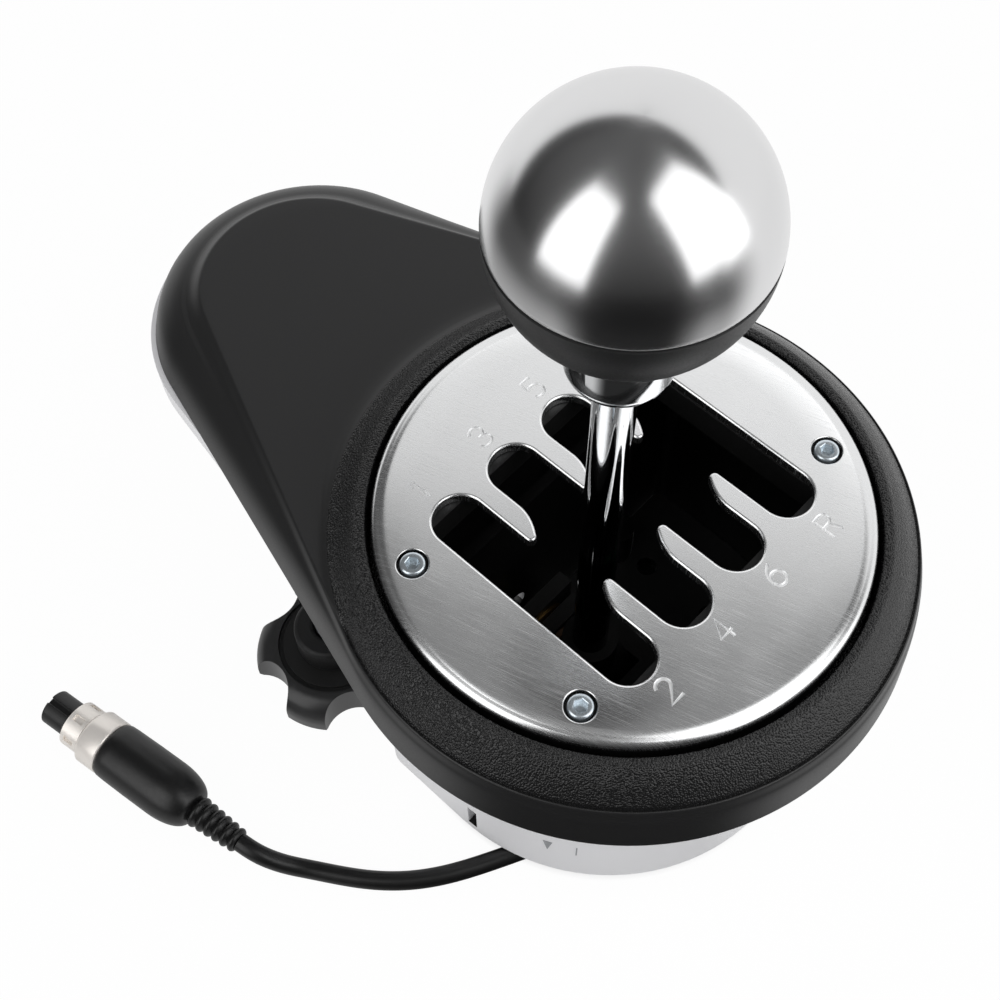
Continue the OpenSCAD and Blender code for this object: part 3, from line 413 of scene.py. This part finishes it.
# Gate. A stamped plate of brushed steel with a rolled rim, four lanes and their numbers stamped in,
# on a black spacer. Four zinc screws with hexagon sockets hold both to the cover.
spacer_black = finish("spacer plastic", (0.006, 0.006, 0.006), 0.40, grain=0.5, relief=0.010)
dress(spacer_black, "gate_spacer")
lane_x, lane_half, lane_end, finger_half = (-28.98, -9.66, 9.66, 28.98), 6.75, 25.7, 2.91
screw_spots = [(sx * 44.886, sy * 25.915) for sx in (-1, 1) for sy in (-1, 1)]


def lane_loop():
    """Outline of the lanes: round ends, and fingers straight on one flank and curved on the other."""
    half_turn = [(-35.73, 2.0), (-35.73, 10.0), (-35.73, 18.0)]
    for i, x in enumerate(lane_x):
        half_turn += [(x + lane_half * math.cos(a), lane_end + lane_half * math.sin(a))
                      for a in spread(math.pi, 0, 24)]
        if i == 3:
            break
        mid = x + 9.66
        half_turn += [(mid - finger_half, y) for y in (22, 18, 14.5, 12)]
        half_turn += [(mid - 1.51 + 1.4 * math.cos(a), 10.8 + 1.4 * math.sin(a))
                      for a in spread(math.pi, math.radians(322), 12)]
        half_turn += [(mid + finger_half - 3.317 * t * t, 18.4 - 8.46 * t) for t in spread(1, 0, 10)[1:]]
        half_turn += [(mid + finger_half, 22)]
    half_turn += [(35.73, 18.0), (35.73, 10.0), (35.73, 2.0)]
    return half_turn + [(-x, -y) for x, y in half_turn]


def grown(loop, width):
    """The loop moved outwards by that width. The loop runs clockwise."""
    out = []
    for i, p in enumerate(loop):
        a, b = Vector(loop[i - 1]), Vector(loop[(i + 1) % len(loop)])
        along = (b - a).normalized()
        out.append((p[0] - along.y * width, p[1] + along.x * width))
    return out


def round_loop(x, y, r, n=40):
    return [(x + r * math.cos(2 * math.pi * k / n), y + r * math.sin(2 * math.pi * k / n)) for k in range(n)]


bm = bmesh.new()
face_z, back_z = 105.5, 102.5
top_edges, back_edges = [], []


def walled(rows):
    """Rows of loops, each with its height, joined by a wall. The first edges a top and the last a back."""
    made = [[bm.verts.new(Vector((x, y, z)) * mm) for x, y in loop] for loop, z in rows]
    n = len(made[0])
    for a, b in zip(made, made[1:]):
        for s in range(n):
            bm.faces.new((a[s], a[s - n + 1], b[s - n + 1], b[s]))
    for row, edges in ((made[0], top_edges), (made[-1], back_edges)):
        edges += [bm.edges.get((row[s], row[s - n + 1])) for s in range(n)]


rim = [(56.2 + 2.2 * t, face_z - 0.42 * t * t) for t in spread(0, 1, 6)]
rim += [(58.4 + 1.6 * math.sin(t), 105.08 - 1.5 * (1 - math.cos(t)) - 0.31 * math.sin(t))
        for t in spread(0.15, math.pi / 2, 8)]
rim += [(60, 102.9), (59.85, 102.62), (59.5, back_z)]
walled([(round_loop(0, 0, r, 180), z) for r, z in rim])
lanes = lane_loop()
edge_r = 0.7
walled([(grown(lanes, edge_r * (1 - math.sin(a))), face_z - edge_r * (1 - math.cos(a)))
        for a in spread(0, math.pi / 2, 6)] + [(lanes, back_z + 0.3), (grown(lanes, 0.3), back_z)])
for x, y in screw_spots:
    walled([(round_loop(x, y, r), z) for r, z in
            ((4.1, face_z), (3.92, face_z - 0.04), (3.82, face_z - 0.14), (3.8, face_z - 0.3), (3.8, back_z))])
bmesh.ops.triangle_fill(bm, use_beauty=True, edges=top_edges)
bmesh.ops.triangle_fill(bm, use_beauty=True, edges=back_edges)
bmesh.ops.recalc_face_normals(bm, faces=bm.faces)
gate_steel = finish("gate steel", (0.78, 0.785, 0.79), 0.18, metal=1.0, grain=0.1, relief=0.0009, mottle=0.03)
tree, paint = gate_steel.node_tree, gate_steel.node_tree.nodes["Principled BSDF"].inputs
scratch_fit, scratch = tree.nodes.new("ShaderNodeMapping"), tree.nodes.new("ShaderNodeTexNoise")
for fit, turn, stroke in ((tree.nodes["fit"], 14, 0.004), (scratch_fit, 17, 0.013)):
    fit.vector_type = "TEXTURE"
    fit.inputs["Rotation"].default_value = (0, 0, math.radians(turn))
    fit.inputs["Scale"].default_value = (0.0001, stroke, stroke)
scratch.inputs["Scale"].default_value = 1.0
scratch.inputs["Detail"].default_value = 1.0
tree.links.new(tree.nodes["where"].outputs["Object"], scratch_fit.inputs["Vector"])
tree.links.new(scratch_fit.outputs["Vector"], scratch.inputs["Vector"])
scratched = ramped(tree, scratch.outputs["Fac"], 0.57, 0.74, 0.0, 0.15)
worn = worked(tree, "Math", "ADD", tree.nodes["gloss"].outputs["Result"], scratched)
handled = worked(tree, "Math", "MULTIPLY_ADD", tree.nodes["broad"].outputs["Fac"], 0.10, worn)
tree.links.new(handled, paint["Roughness"])
dish = tree.nodes.new("ShaderNodeBump")
dish.invert = True
dish.inputs["Distance"].default_value = 0.0004
tree.links.new(worked(tree, "Math", "POWER", ramped(tree, off_axis(tree), 0.048, 0.058), 2.2), dish.inputs["Height"])
tree.links.new(dish.outputs["Normal"], tree.nodes["bump"].inputs["Normal"])
gate = piece("gate_brushed", bm, gate_steel, sharp=40)


def arc(x, y, rx, ry, a, b, n=14):
    return [(x + rx * math.cos(math.radians(t)), y + ry * math.sin(math.radians(t))) for t in spread(a, b, n)]


numbers = {
    "1": (-29.6, 38.5, [[(-1.2, 1.7), (0.4, 3.0), (0.4, -3.0)]]),
    "3": (-9.1, 38.3, [arc(0, 1.45, 1.75, 1.55, 160, -90) + arc(0, -1.5, 1.95, 1.6, 90, -160)]),
    "5": (10.3, 38.5, [[(1.7, 3.0), (-1.3, 3.0), (-1.6, 0.4)] + arc(0, -1.1, 1.95, 1.9, 128, -145)]),
    "7": (29.0, 38.4, [[(-1.9, 3.0), (1.9, 3.0), (-0.6, -3.0)]]),
    "2": (-29.0, -37.5, [arc(0, 1.35, 1.85, 1.65, 165, -35) + [(-1.95, -3.0), (1.95, -3.0)]]),
    "4": (-9.5, -37.2, [[(0.9, -3.0), (0.9, 3.0), (-2.0, -1.3), (2.0, -1.3)]]),
    "6": (9.6, -37.4, [[(1.2, 3.0)] + arc(1.6, -1.0, 3.5, 3.8, 115, 180) + arc(0, -1.1, 1.9, 1.9, 178, -182, 26)]),
    "R": (28.4, -38.4, [[(-1.6, -3.0), (-1.6, 3.0), (0.3, 3.0)] + arc(0.3, 1.55, 1.45, 1.45, 90, -90) + [(-1.6, 0.1)],
                        [(0.2, 0.1), (1.9, -3.0)]]),
}
strokes = bpy.data.curves.new("number strokes", "CURVE")
strokes.dimensions = "3D"
strokes.bevel_depth = 0.0005
strokes.bevel_resolution = 3
strokes.use_fill_caps = True
for x, y, lines in numbers.values():
    for line in lines:
        spline = strokes.splines.new("POLY")
        spline.points.add(len(line) - 1)
        for point, (dx, dy) in zip(spline.points, line):
            point.co = ((x + dx) * mm, (y + dy) * mm, (face_z + 0.2) * mm, 1)
punch = bpy.data.objects.new("number punch", strokes)
bpy.context.collection.objects.link(punch)
cutter = bpy.data.objects.new("number cutter", bpy.data.meshes.new_from_object(
    punch.evaluated_get(bpy.context.evaluated_depsgraph_get())))
bpy.context.collection.objects.link(cutter)
cutter.data.materials.clear()
cutter.data.materials.append(finish("stamped steel", (0.9, 0.905, 0.91), 0.48, metal=1.0, grain=0.2, relief=0.002))
stamp = gate.modifiers.new("stamped numbers", "BOOLEAN")
stamp.object = cutter
stamp.operation = "DIFFERENCE"
stamp.solver = "EXACT"
stamp.use_self = True
stamp.material_mode = "TRANSFER"
stamped = bpy.data.meshes.new_from_object(gate.evaluated_get(bpy.context.evaluated_depsgraph_get()))
gate.modifiers.remove(stamp)
gate.data = stamped
bpy.data.objects.remove(cutter)
bpy.data.objects.remove(punch)
gate.data.set_sharp_from_angle(angle=math.radians(34))
for face in gate.data.polygons:
    face.use_smooth = abs(face.normal.z) < 0.99999
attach(gate, "root")
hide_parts("gate_plate")


def set_at(name, part, spots, turn, mat):
    """Copies of one part on a list of points, each turned a little further, joined into one mesh."""
    tree = bpy.data.node_groups.new(name + " set", "GeometryNodeTree")
    face = tree.interface
    face.new_socket("Spots", in_out="INPUT", socket_type="NodeSocketGeometry")
    sockets = [face.new_socket(label, in_out="INPUT", socket_type=kind) for label, kind in
               (("Part", "NodeSocketObject"), ("Turn", "NodeSocketFloat"), ("Finish", "NodeSocketMaterial"))]
    face.new_socket("Set", in_out="OUTPUT", socket_type="NodeSocketGeometry")
    add, link = tree.nodes.new, tree.links.new
    given, result = add("NodeGroupInput"), add("NodeGroupOutput")
    shape, order, times, spin = (add("GeometryNodeObjectInfo"), add("GeometryNodeInputIndex"), add("ShaderNodeMath"),
                                 add("ShaderNodeCombineXYZ"))
    put, real, paint = (add("GeometryNodeInstanceOnPoints"), add("GeometryNodeRealizeInstances"),
                        add("GeometryNodeSetMaterial"))
    times.operation = "MULTIPLY"
    link(given.outputs["Part"], shape.inputs["Object"])
    link(order.outputs["Index"], times.inputs[0])
    link(given.outputs["Turn"], times.inputs[1])
    link(times.outputs["Value"], spin.inputs["Z"])
    link(given.outputs["Spots"], put.inputs["Points"])
    link(shape.outputs["Geometry"], put.inputs["Instance"])
    link(spin.outputs["Vector"], put.inputs["Rotation"])
    link(put.outputs["Instances"], real.inputs["Geometry"])
    link(real.outputs["Geometry"], paint.inputs["Geometry"])
    link(given.outputs["Finish"], paint.inputs["Material"])
    link(paint.outputs["Geometry"], result.inputs["Set"])
    dots = bpy.data.meshes.new(name + " spots")
    dots.from_pydata([Vector(p) * mm for p in spots], [], [])
    obj = bpy.data.objects.new(name, dots)
    bpy.context.collection.objects.link(obj)
    nodes_on = obj.modifiers.new("set", "NODES")
    nodes_on.node_group = tree
    for socket, value in zip(sockets, (part, turn, mat)):
        nodes_on[socket.identifier] = value
    made = bpy.data.meshes.new_from_object(obj.evaluated_get(bpy.context.evaluated_depsgraph_get()))
    obj.modifiers.remove(nodes_on)
    obj.data = made
    bpy.data.objects.remove(part)
    return obj


def socket_screw():
    """Head of a hexagon socket screw with an eased rim, its underside at height 0."""
    bm = bmesh.new()
    hexagon = []
    for k in range(24):
        a = math.pi * k / 12
        hexagon.append(1.0 / math.cos((a + math.pi / 6) % (math.pi / 3) - math.pi / 6))
    outlines = [([r] * 24, z) for r, z in ((3.05, 0), (3.05, 1.6), (2.98, 1.86), (2.8, 2.08), (2.55, 2.2), (2.1, 2.2))]
    outlines += [([r * h for h in hexagon], z) for r, z in ((1.65, 2.2), (1.5, 2.05), (1.5, 0.3))]
    made = [[bm.verts.new(Vector((r * math.cos(math.pi * k / 12), r * math.sin(math.pi * k / 12), z)) * mm)
             for k, r in enumerate(radii)] for radii, z in outlines]
    for a, b in zip(made, made[1:]):
        for s in range(24):
            bm.faces.new((a[s], a[s - 23], b[s - 23], b[s]))
    bm.faces.new(made[0][::-1])
    bm.faces.new(made[-1])
    bmesh.ops.recalc_face_normals(bm, faces=bm.faces)
    return piece("screw_pattern", bm, zinc, sharp=28)


gate_heads = set_at("gate_screw_heads", socket_screw(), [(x, y, 103.7) for x, y in screw_spots], 0.7, zinc)
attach(gate_heads, "root")
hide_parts("gate_screws")


# Lever. A chromed steel rod stands in the hub and runs up through a bell of chrome into the ball.
# The ball's lower shell is matt black plastic, and its upper shell is spun and brushed steel.
def turned(name, profile, mat, place, steps=96, sharp=30):
    """A turned piece: pairs of radius and height in mm swept round place's Z axis, closed at both ends."""
    bm = bmesh.new()
    rows = []
    for r, z in profile:
        spots = [(r * math.cos(2 * math.pi * k / steps), r * math.sin(2 * math.pi * k / steps), z)
                 for k in range(steps)] if r > 1e-6 else [(0, 0, z)]
        rows.append([bm.verts.new((place @ Vector(p)) * mm) for p in spots])
    for a, b in zip(rows, rows[1:]):
        for s in range(steps):
            ring = [a[s % len(a)], a[(s + 1) % len(a)], b[(s + 1) % len(b)], b[s % len(b)]]
            ring = [v for i, v in enumerate(ring) if v not in ring[:i]]
            if len(ring) > 2:
                bm.faces.new(ring)
    bmesh.ops.recalc_face_normals(bm, faces=bm.faces)
    return piece(name, bm, mat, sharp)


stem = Matrix.Translation((-8.8, -0.5, 0))
chrome, rod_chrome = (finish(name, (0.82, 0.83, 0.84), 0.045, metal=1.0, grain=3.0, relief=0.0008, mottle=0.01)
                      for name in ("lever chrome", "rod chrome"))
tree = rod_chrome.node_tree
# Painted shade: below about 96 mm high the rod is near black, standing for the dark drum it runs into.
above_painted_shade = ramped(tree, along(tree, tree.nodes["where"].outputs["Object"], "Z"), 0.096, 0.100)
tree.links.new(mixed(tree, above_painted_shade, (0.004, 0.004, 0.004, 1), tree.nodes["tone"].outputs[2]),
               tree.nodes["Principled BSDF"].inputs["Base Color"])
rod = turned("lever_chrome", [(0, 32.5), (4.3, 32.5), (4.75, 33), (4.75, 206.6), (4.4, 206.9), (0, 206.9)],
             rod_chrome, stem)
low, high = 171.4, 189.4
cup = [(7.2 + 4.0 * math.sin(t), low + 4.0 * (1 - math.cos(t))) for t in spread(0, math.pi / 2, 22)]
collar = turned("lever_cup", [(4.76, low + 0.6), (4.9, low + 0.2), (5.2, low)] + cup
                + [(11.2, high - 0.3), (10.9, high), (4.76, high), (4.76, low + 0.6)], chrome, stem)
knob_z, knob_r, seam_z = 212.9, 26.3, 212.7
shell_black = finish("knob plastic", (0.011, 0.011, 0.0113), 0.42, grain=0.4, relief=0.008, mottle=0.06)
lower = [(knob_r * math.cos(a), knob_z + knob_r * math.sin(a))
         for a in spread(math.asin(-23.5 / knob_r), math.asin((seam_z - 0.15 - knob_z) / knob_r), 26)]
knob_base = turned("knob_lower_shell", [(4.77, high), (lower[0][0] - 0.4, high)] + lower
                   + [(25.8, seam_z), (17.8, seam_z), (17.8, 220.8), (4.77, 220.8), (4.77, high)], shell_black, stem)
upper = [(knob_r * math.cos(a), knob_z + knob_r * math.sin(a))
         for a in spread(math.asin((seam_z + 1.1 - knob_z) / knob_r), math.pi / 2, 60)]
upper[-1] = (0, knob_z + knob_r)
hollow_r = knob_r - 2.5
inner = [(hollow_r * math.cos(a), knob_z + hollow_r * math.sin(a)) for a in spread(math.pi / 2, -0.008, 24)]
inner[0] = (0, knob_z + hollow_r)
ball_steel = finish("ball steel", (0.71, 0.71, 0.715), 0.225, metal=1.0, grain=0.22, relief=0.0004, mottle=0.02,
                    stretch=(60, 60, 1))
tree, paint = ball_steel.node_tree, ball_steel.node_tree.nodes["Principled BSDF"].inputs
height = along(tree, tree.nodes["where"].outputs["Object"], "Z")
rise = worked(tree, "Math", "MULTIPLY_ADD", height, 1000 / knob_r, -knob_z / knob_r)
rise.node.use_clamp = True
brush_lines = worked(tree, "Math", "MULTIPLY", worked(tree, "Math", "ARCSINE", rise), 170.0)
tree.nodes["fine"].noise_dimensions = "1D"
tree.links.new(brush_lines, tree.nodes["fine"].inputs["W"])
paint["Anisotropic"].default_value = 0.5
paint["Anisotropic Rotation"].default_value = 0.25
lip = ramped(tree, height, (seam_z + 0.75) * mm, (seam_z + 0.95) * mm, 0.45, 0.0)
tree.links.new(worked(tree, "Math", "ADD", tree.nodes["gloss"].outputs["Result"], lip), paint["Roughness"])
rolled_lip = [(r, seam_z + up) for r, up in ((25.4, 0.02), (25.7, 0.08), (25.95, 0.25), (26.12, 0.5), (26.22, 0.8))]
knob_cap = turned("knob_upper_shell", rolled_lip + upper + inner + rolled_lip[:1], ball_steel, stem, steps=128)
for obj, node, slot in ((rod, "lever_rod", "lever_chrome"), (collar, "knob_collar", "lever_chrome"),
                        (knob_base, "knob_base", "knob_black"), (knob_cap, "knob_cap", "knob_steel")):
    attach(obj, "lever")
    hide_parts(node)

# Lead. A round black cable leaves the base through a grommet in its tunnel, comes down to the table
# and runs in one loose bend to its plug, all of it in view.
cord_black = finish("cable sheath", (0.004, 0.004, 0.004), 0.36, grain=1.5, relief=0.004)
dress(cord_black, "cable_gland")
route = [(-35.5, -29, 10.7), (-38, -27.5, 10.4), (-41.5, -25.5, 9.1), (-46, -22.9, 6.7), (-51, -20, 4.1),
         (-56.4, -16.9, 2.8), (-63, -13.4, 2.7), (-70.7, -9.3, 2.7), (-77.7, -4.6, 2.7), (-84, 0.9, 2.7),
         (-89.4, 7.2, 2.7), (-94.1, 14.3, 2.7), (-98, 21, 2.7), (-100.5, 24.5, 3.2), (-103, 28, 4.8),
         (-105, 31.5, 6.9), (-106.5, 35, 8.4), (-107.2, 39.8, 8.8)]
line = []
for i in range(len(route) - 1):
    a, b, c, d = (Vector(route[min(max(i + k, 0), len(route) - 1)]) for k in (-1, 0, 1, 2))
    line += [0.5 * (2 * b + (c - a) * t + (2 * a - 5 * b + 4 * c - d) * t * t + (3 * b - a - 3 * c + d) * t ** 3)
             for t in (0, 1 / 6, 2 / 6, 3 / 6, 4 / 6, 5 / 6)]
line = [p * mm for p in line + [Vector(route[-1])]]
for _ in range(40):
    line[1:-1] = [(line[i - 1] + 2 * line[i] + line[i + 1]) / 4 for i in range(1, len(line) - 1)]
path = bpy.data.curves.new("lead", "CURVE")
path.dimensions = "3D"
path.bevel_depth = 0.00265
path.bevel_resolution = 6
path.use_fill_caps = True
spline = path.splines.new("POLY")
spline.points.add(len(line) - 1)
for point, spot in zip(spline.points, line):
    point.co = (*spot, 1)
spline.use_smooth = True
path.materials.append(cord_black)
lead = bpy.data.objects.new("lead", path)
bpy.context.collection.objects.link(lead)

# Plug. A moulded black boot with a ribbed strain relief, a nickel ring and a nickel shell with spring
# windows, round a black insert with a key slot and brass pins.
boot_black = finish("boot plastic", (0.0055, 0.0055, 0.0056), 0.36, grain=0.8, relief=0.006)
nickel = finish("plug nickel", (0.91, 0.865, 0.81), 0.32, metal=0.45, grain=0.5, relief=0.004, mottle=0.05)
insert_black = finish("insert plastic", (0.0045, 0.0045, 0.0045), 0.36, grain=0.6, relief=0.004)
plug = (Matrix.Translation((-107.2, 39.8, 8.8)) @ Matrix.Rotation(math.radians(98), 4, "Z")
        @ Matrix.Rotation(math.radians(90), 4, "Y"))
rib_count, rib_pitch, rib_depth = 6, 2.7, 0.85
ribs = [(0, 0), (2.7, 0)]
for i in range(rib_count):
    top = 3.4 + 1.2 * (i + 1) / rib_count
    ribs += [(top - rib_depth + rib_depth * math.sin(math.pi * t) ** 0.6, rib_pitch * (i + t * 0.78 + 0.02))
             for t in spread(0.02, 0.98, 8)]
    ribs += [(top - rib_depth, rib_pitch * (i + 0.9))]
shoulder = [(4.4 + 4.2 * math.sin(t), 16.2 + 11 * (1 - math.cos(t))) for t in spread(0, math.pi / 2, 16)]
boot = turned("plug_moulded_boot", ribs + shoulder
              + [(8.6, 36), (8.5, 44), (8.4, 46.2), (8.2, 46.8), (7.8, 47.15), (7.5, 47.2), (0, 47.2)],
              boot_black, plug, sharp=50)
ring = turned("plug_nickel_ring", [(5.4, 47.25), (7.6, 47.25), (8.1, 47.4), (8.3, 47.7), (8.3, 53.8), (8.15, 54.1),
                                   (7.5, 54.75), (7.2, 54.8), (5.4, 54.8), (5.4, 47.25)], nickel, plug)
for obj, node, slot in ((boot, "plug_boot", "plug_black"), (ring, "plug_ring", "plug_nickel")):
    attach(obj, "root")
    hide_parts(node)
shell = eased("plug_shell", 0.25, nickel)
insert = eased("plug_insert", 0.3, insert_black)
dress(finish("pin brass", (0.78, 0.58, 0.25), 0.22, metal=1.0, grain=0.4, relief=0.003), "plug_pins")
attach(lead, "root")
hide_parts("cord")

# Studio. A pale floor that keeps the shadow, with a painted shadow under the drum and a painted glow
# that only reflections see, two tall soft lamps left and right of the camera, and a dark room behind
# the camera, which the steel and the chrome reflect.
bm = bmesh.new()
bmesh.ops.create_grid(bm, x_segments=1, y_segments=1, size=3.0)
floor_mat = bpy.data.materials.new("pale floor")
floor_mat.use_nodes = True
floor = piece("floor", bm, floor_mat)
tree = floor_mat.node_tree
tree.nodes.remove(tree.nodes["Principled BSDF"])
pale, glow, both = (tree.nodes.new("ShaderNode" + kind) for kind in ("BsdfDiffuse", "Emission", "MixShader"))
rays = tree.nodes.new("ShaderNodeLightPath").outputs
spot = tree.nodes.new("ShaderNodeTexCoord").outputs["Object"]
out_by = worked(tree, "VectorMath", "LENGTH", spot)
# Painted shadow: under the drum, short of its flat back, the floor is near black in colour and does not glow.
past_back = worked(tree, "Math", "ADD", along(tree, spot, "Y"), 0.031)
outside_painted_shadow = ramped(tree, worked(tree, "Math", "MAXIMUM", past_back, out_by), 0.052, 0.060)
tree.links.new(mixed(tree, outside_painted_shadow, (0.01, 0.01, 0.01, 1), (0.86, 0.86, 0.86, 1)), pale.inputs["Color"])
shown = worked(tree, "Math", "MULTIPLY", worked(tree, "Math", "MULTIPLY", rays["Is Camera Ray"], outside_painted_shadow), 0.97)
mirrored = worked(tree, "Math", "MAXIMUM", rays["Is Glossy Ray"], rays["Is Transmission Ray"])
share = worked(tree, "Math", "MAXIMUM", shown, mirrored)
# Painted reflection: to glossy rays the floor glows, at 0.97 on the far side and fading with distance on the near
# side, with painted shade in a wedge toward the camera.
aim = worked(tree, "VectorMath", "NORMALIZE", spot)
far_side = ramped(tree, worked(tree, "VectorMath", "DOT_PRODUCT", aim, (0.94, 0.342, 0)), -0.15, 0.4, soft=True)
dark_wedge = ramped(tree, worked(tree, "VectorMath", "DOT_PRODUCT", aim, (-0.766, -0.643, 0)), 0.6, 0.92, 1, 0.04,
                    soft=True)
nearby = ramped(tree, out_by, 0.14, 0.5, 0.62, 0.08)
fade = tree.nodes.new("ShaderNodeMix")
feed(tree, (fade.inputs[0], fade.inputs[2], fade.inputs[3]),
     (far_side, worked(tree, "Math", "MULTIPLY", nearby, dark_wedge), 0.97))
painted_reflection_glow = worked(tree, "Math", "MULTIPLY", fade.outputs[0], outside_painted_shadow)
tree.links.new(mixed(tree, rays["Is Glossy Ray"], (1, 1, 1, 1), painted_reflection_glow), glow.inputs["Color"])
feed(tree, both.inputs, (share, pale.outputs["BSDF"], glow.outputs["Emission"]))
tree.links.new(both.outputs["Shader"], tree.nodes["Material Output"].inputs["Surface"])

world = bpy.data.worlds.new("room")
bpy.context.scene.world = world
world.use_nodes = True
tree = world.node_tree
rays = tree.nodes.new("ShaderNodeLightPath").outputs
way = tree.nodes.new("ShaderNodeTexCoord").outputs["Generated"]
beyond = worked(tree, "VectorMath", "DOT_PRODUCT", way, (0.735, 0.197, -0.649))
sweep = ramped(tree, beyond, -0.07, 0.05, soft=True)
dusk = ramped(tree, along(tree, way, "Z"), -0.2, 0.8, 0.01, 0.105)
verge = ramped(tree, beyond, -0.35, -0.07, 1.0, 0.3)
mirror_room = mixed(tree, sweep, worked(tree, "Math", "MULTIPLY", dusk, verge), (1, 1, 1, 1))
lit_room = mixed(tree, rays["Is Glossy Ray"], (0.46, 0.46, 0.47, 1), mirror_room)
plain = worked(tree, "Math", "MAXIMUM", rays["Is Camera Ray"], rays["Is Transmission Ray"])
tree.links.new(mixed(tree, plain, lit_room, (1, 1, 1, 1)), tree.nodes["Background"].inputs["Color"])

def soft_lamp(name, wide, tall, watts, place, turns):
    """A rectangular soft lamp that the camera doesn't see."""
    lamp = bpy.data.lights.new(name, "AREA")
    lamp.shape = "RECTANGLE"
    lamp.size, lamp.size_y = wide, tall
    lamp.energy = watts
    stand = bpy.data.objects.new(name, lamp)
    stand.location, stand.rotation_euler = place, turns
    stand.visible_camera = False
    bpy.context.collection.objects.link(stand)
    return stand


for name, turn, far, lean, wide, low, tall, watts in (("lamp left", 170, 0.955, 14.5, 0.63, 0.157, 1.315, 4.6),
                                                      ("lamp right", -77, 0.977, 21.5, 0.86, 0.25, 1.51, 7.2)):
    turn, lean = math.radians(turn), math.radians(lean)
    away = far - tall / 2 * math.sin(lean)
    soft_lamp(name, wide, tall, watts,
              (away * math.cos(turn), away * math.sin(turn), low + tall / 2 * math.cos(lean)),
              (math.pi / 2 - lean, 0, turn + math.pi / 2))

under_cards = bpy.data.collections.new("under the cards")
under_cards.objects.link(gate)
card_turn, card_aside, card_z, card_long = math.radians(30), 0.06, 0.6, 0.62
for name, away, deep, watts in (("bright card", 0.406, 0.31, 0.5), ("dim card", 0.027, 0.45, 0.13)):
    card = soft_lamp(name, deep, card_long, watts,
                     (away * math.cos(card_turn) - card_aside * math.sin(card_turn),
                      away * math.sin(card_turn) + card_aside * math.cos(card_turn), card_z), (0, 0, card_turn))
    card.light_linking.receiver_collection = under_cards

view = bpy.data.cameras.new("camera")
view.lens, view.sensor_width = 52.543, 36.0
camera = bpy.data.objects.new("camera", view)
camera.location = (-0.143326, -0.097432, 0.40505)
camera.rotation_euler = (math.radians(30.007), math.radians(0.535), math.radians(-46.993))
bpy.context.collection.objects.link(camera)
bpy.context.scene.camera = camera
bpy.context.scene.view_settings.view_transform = "Standard"
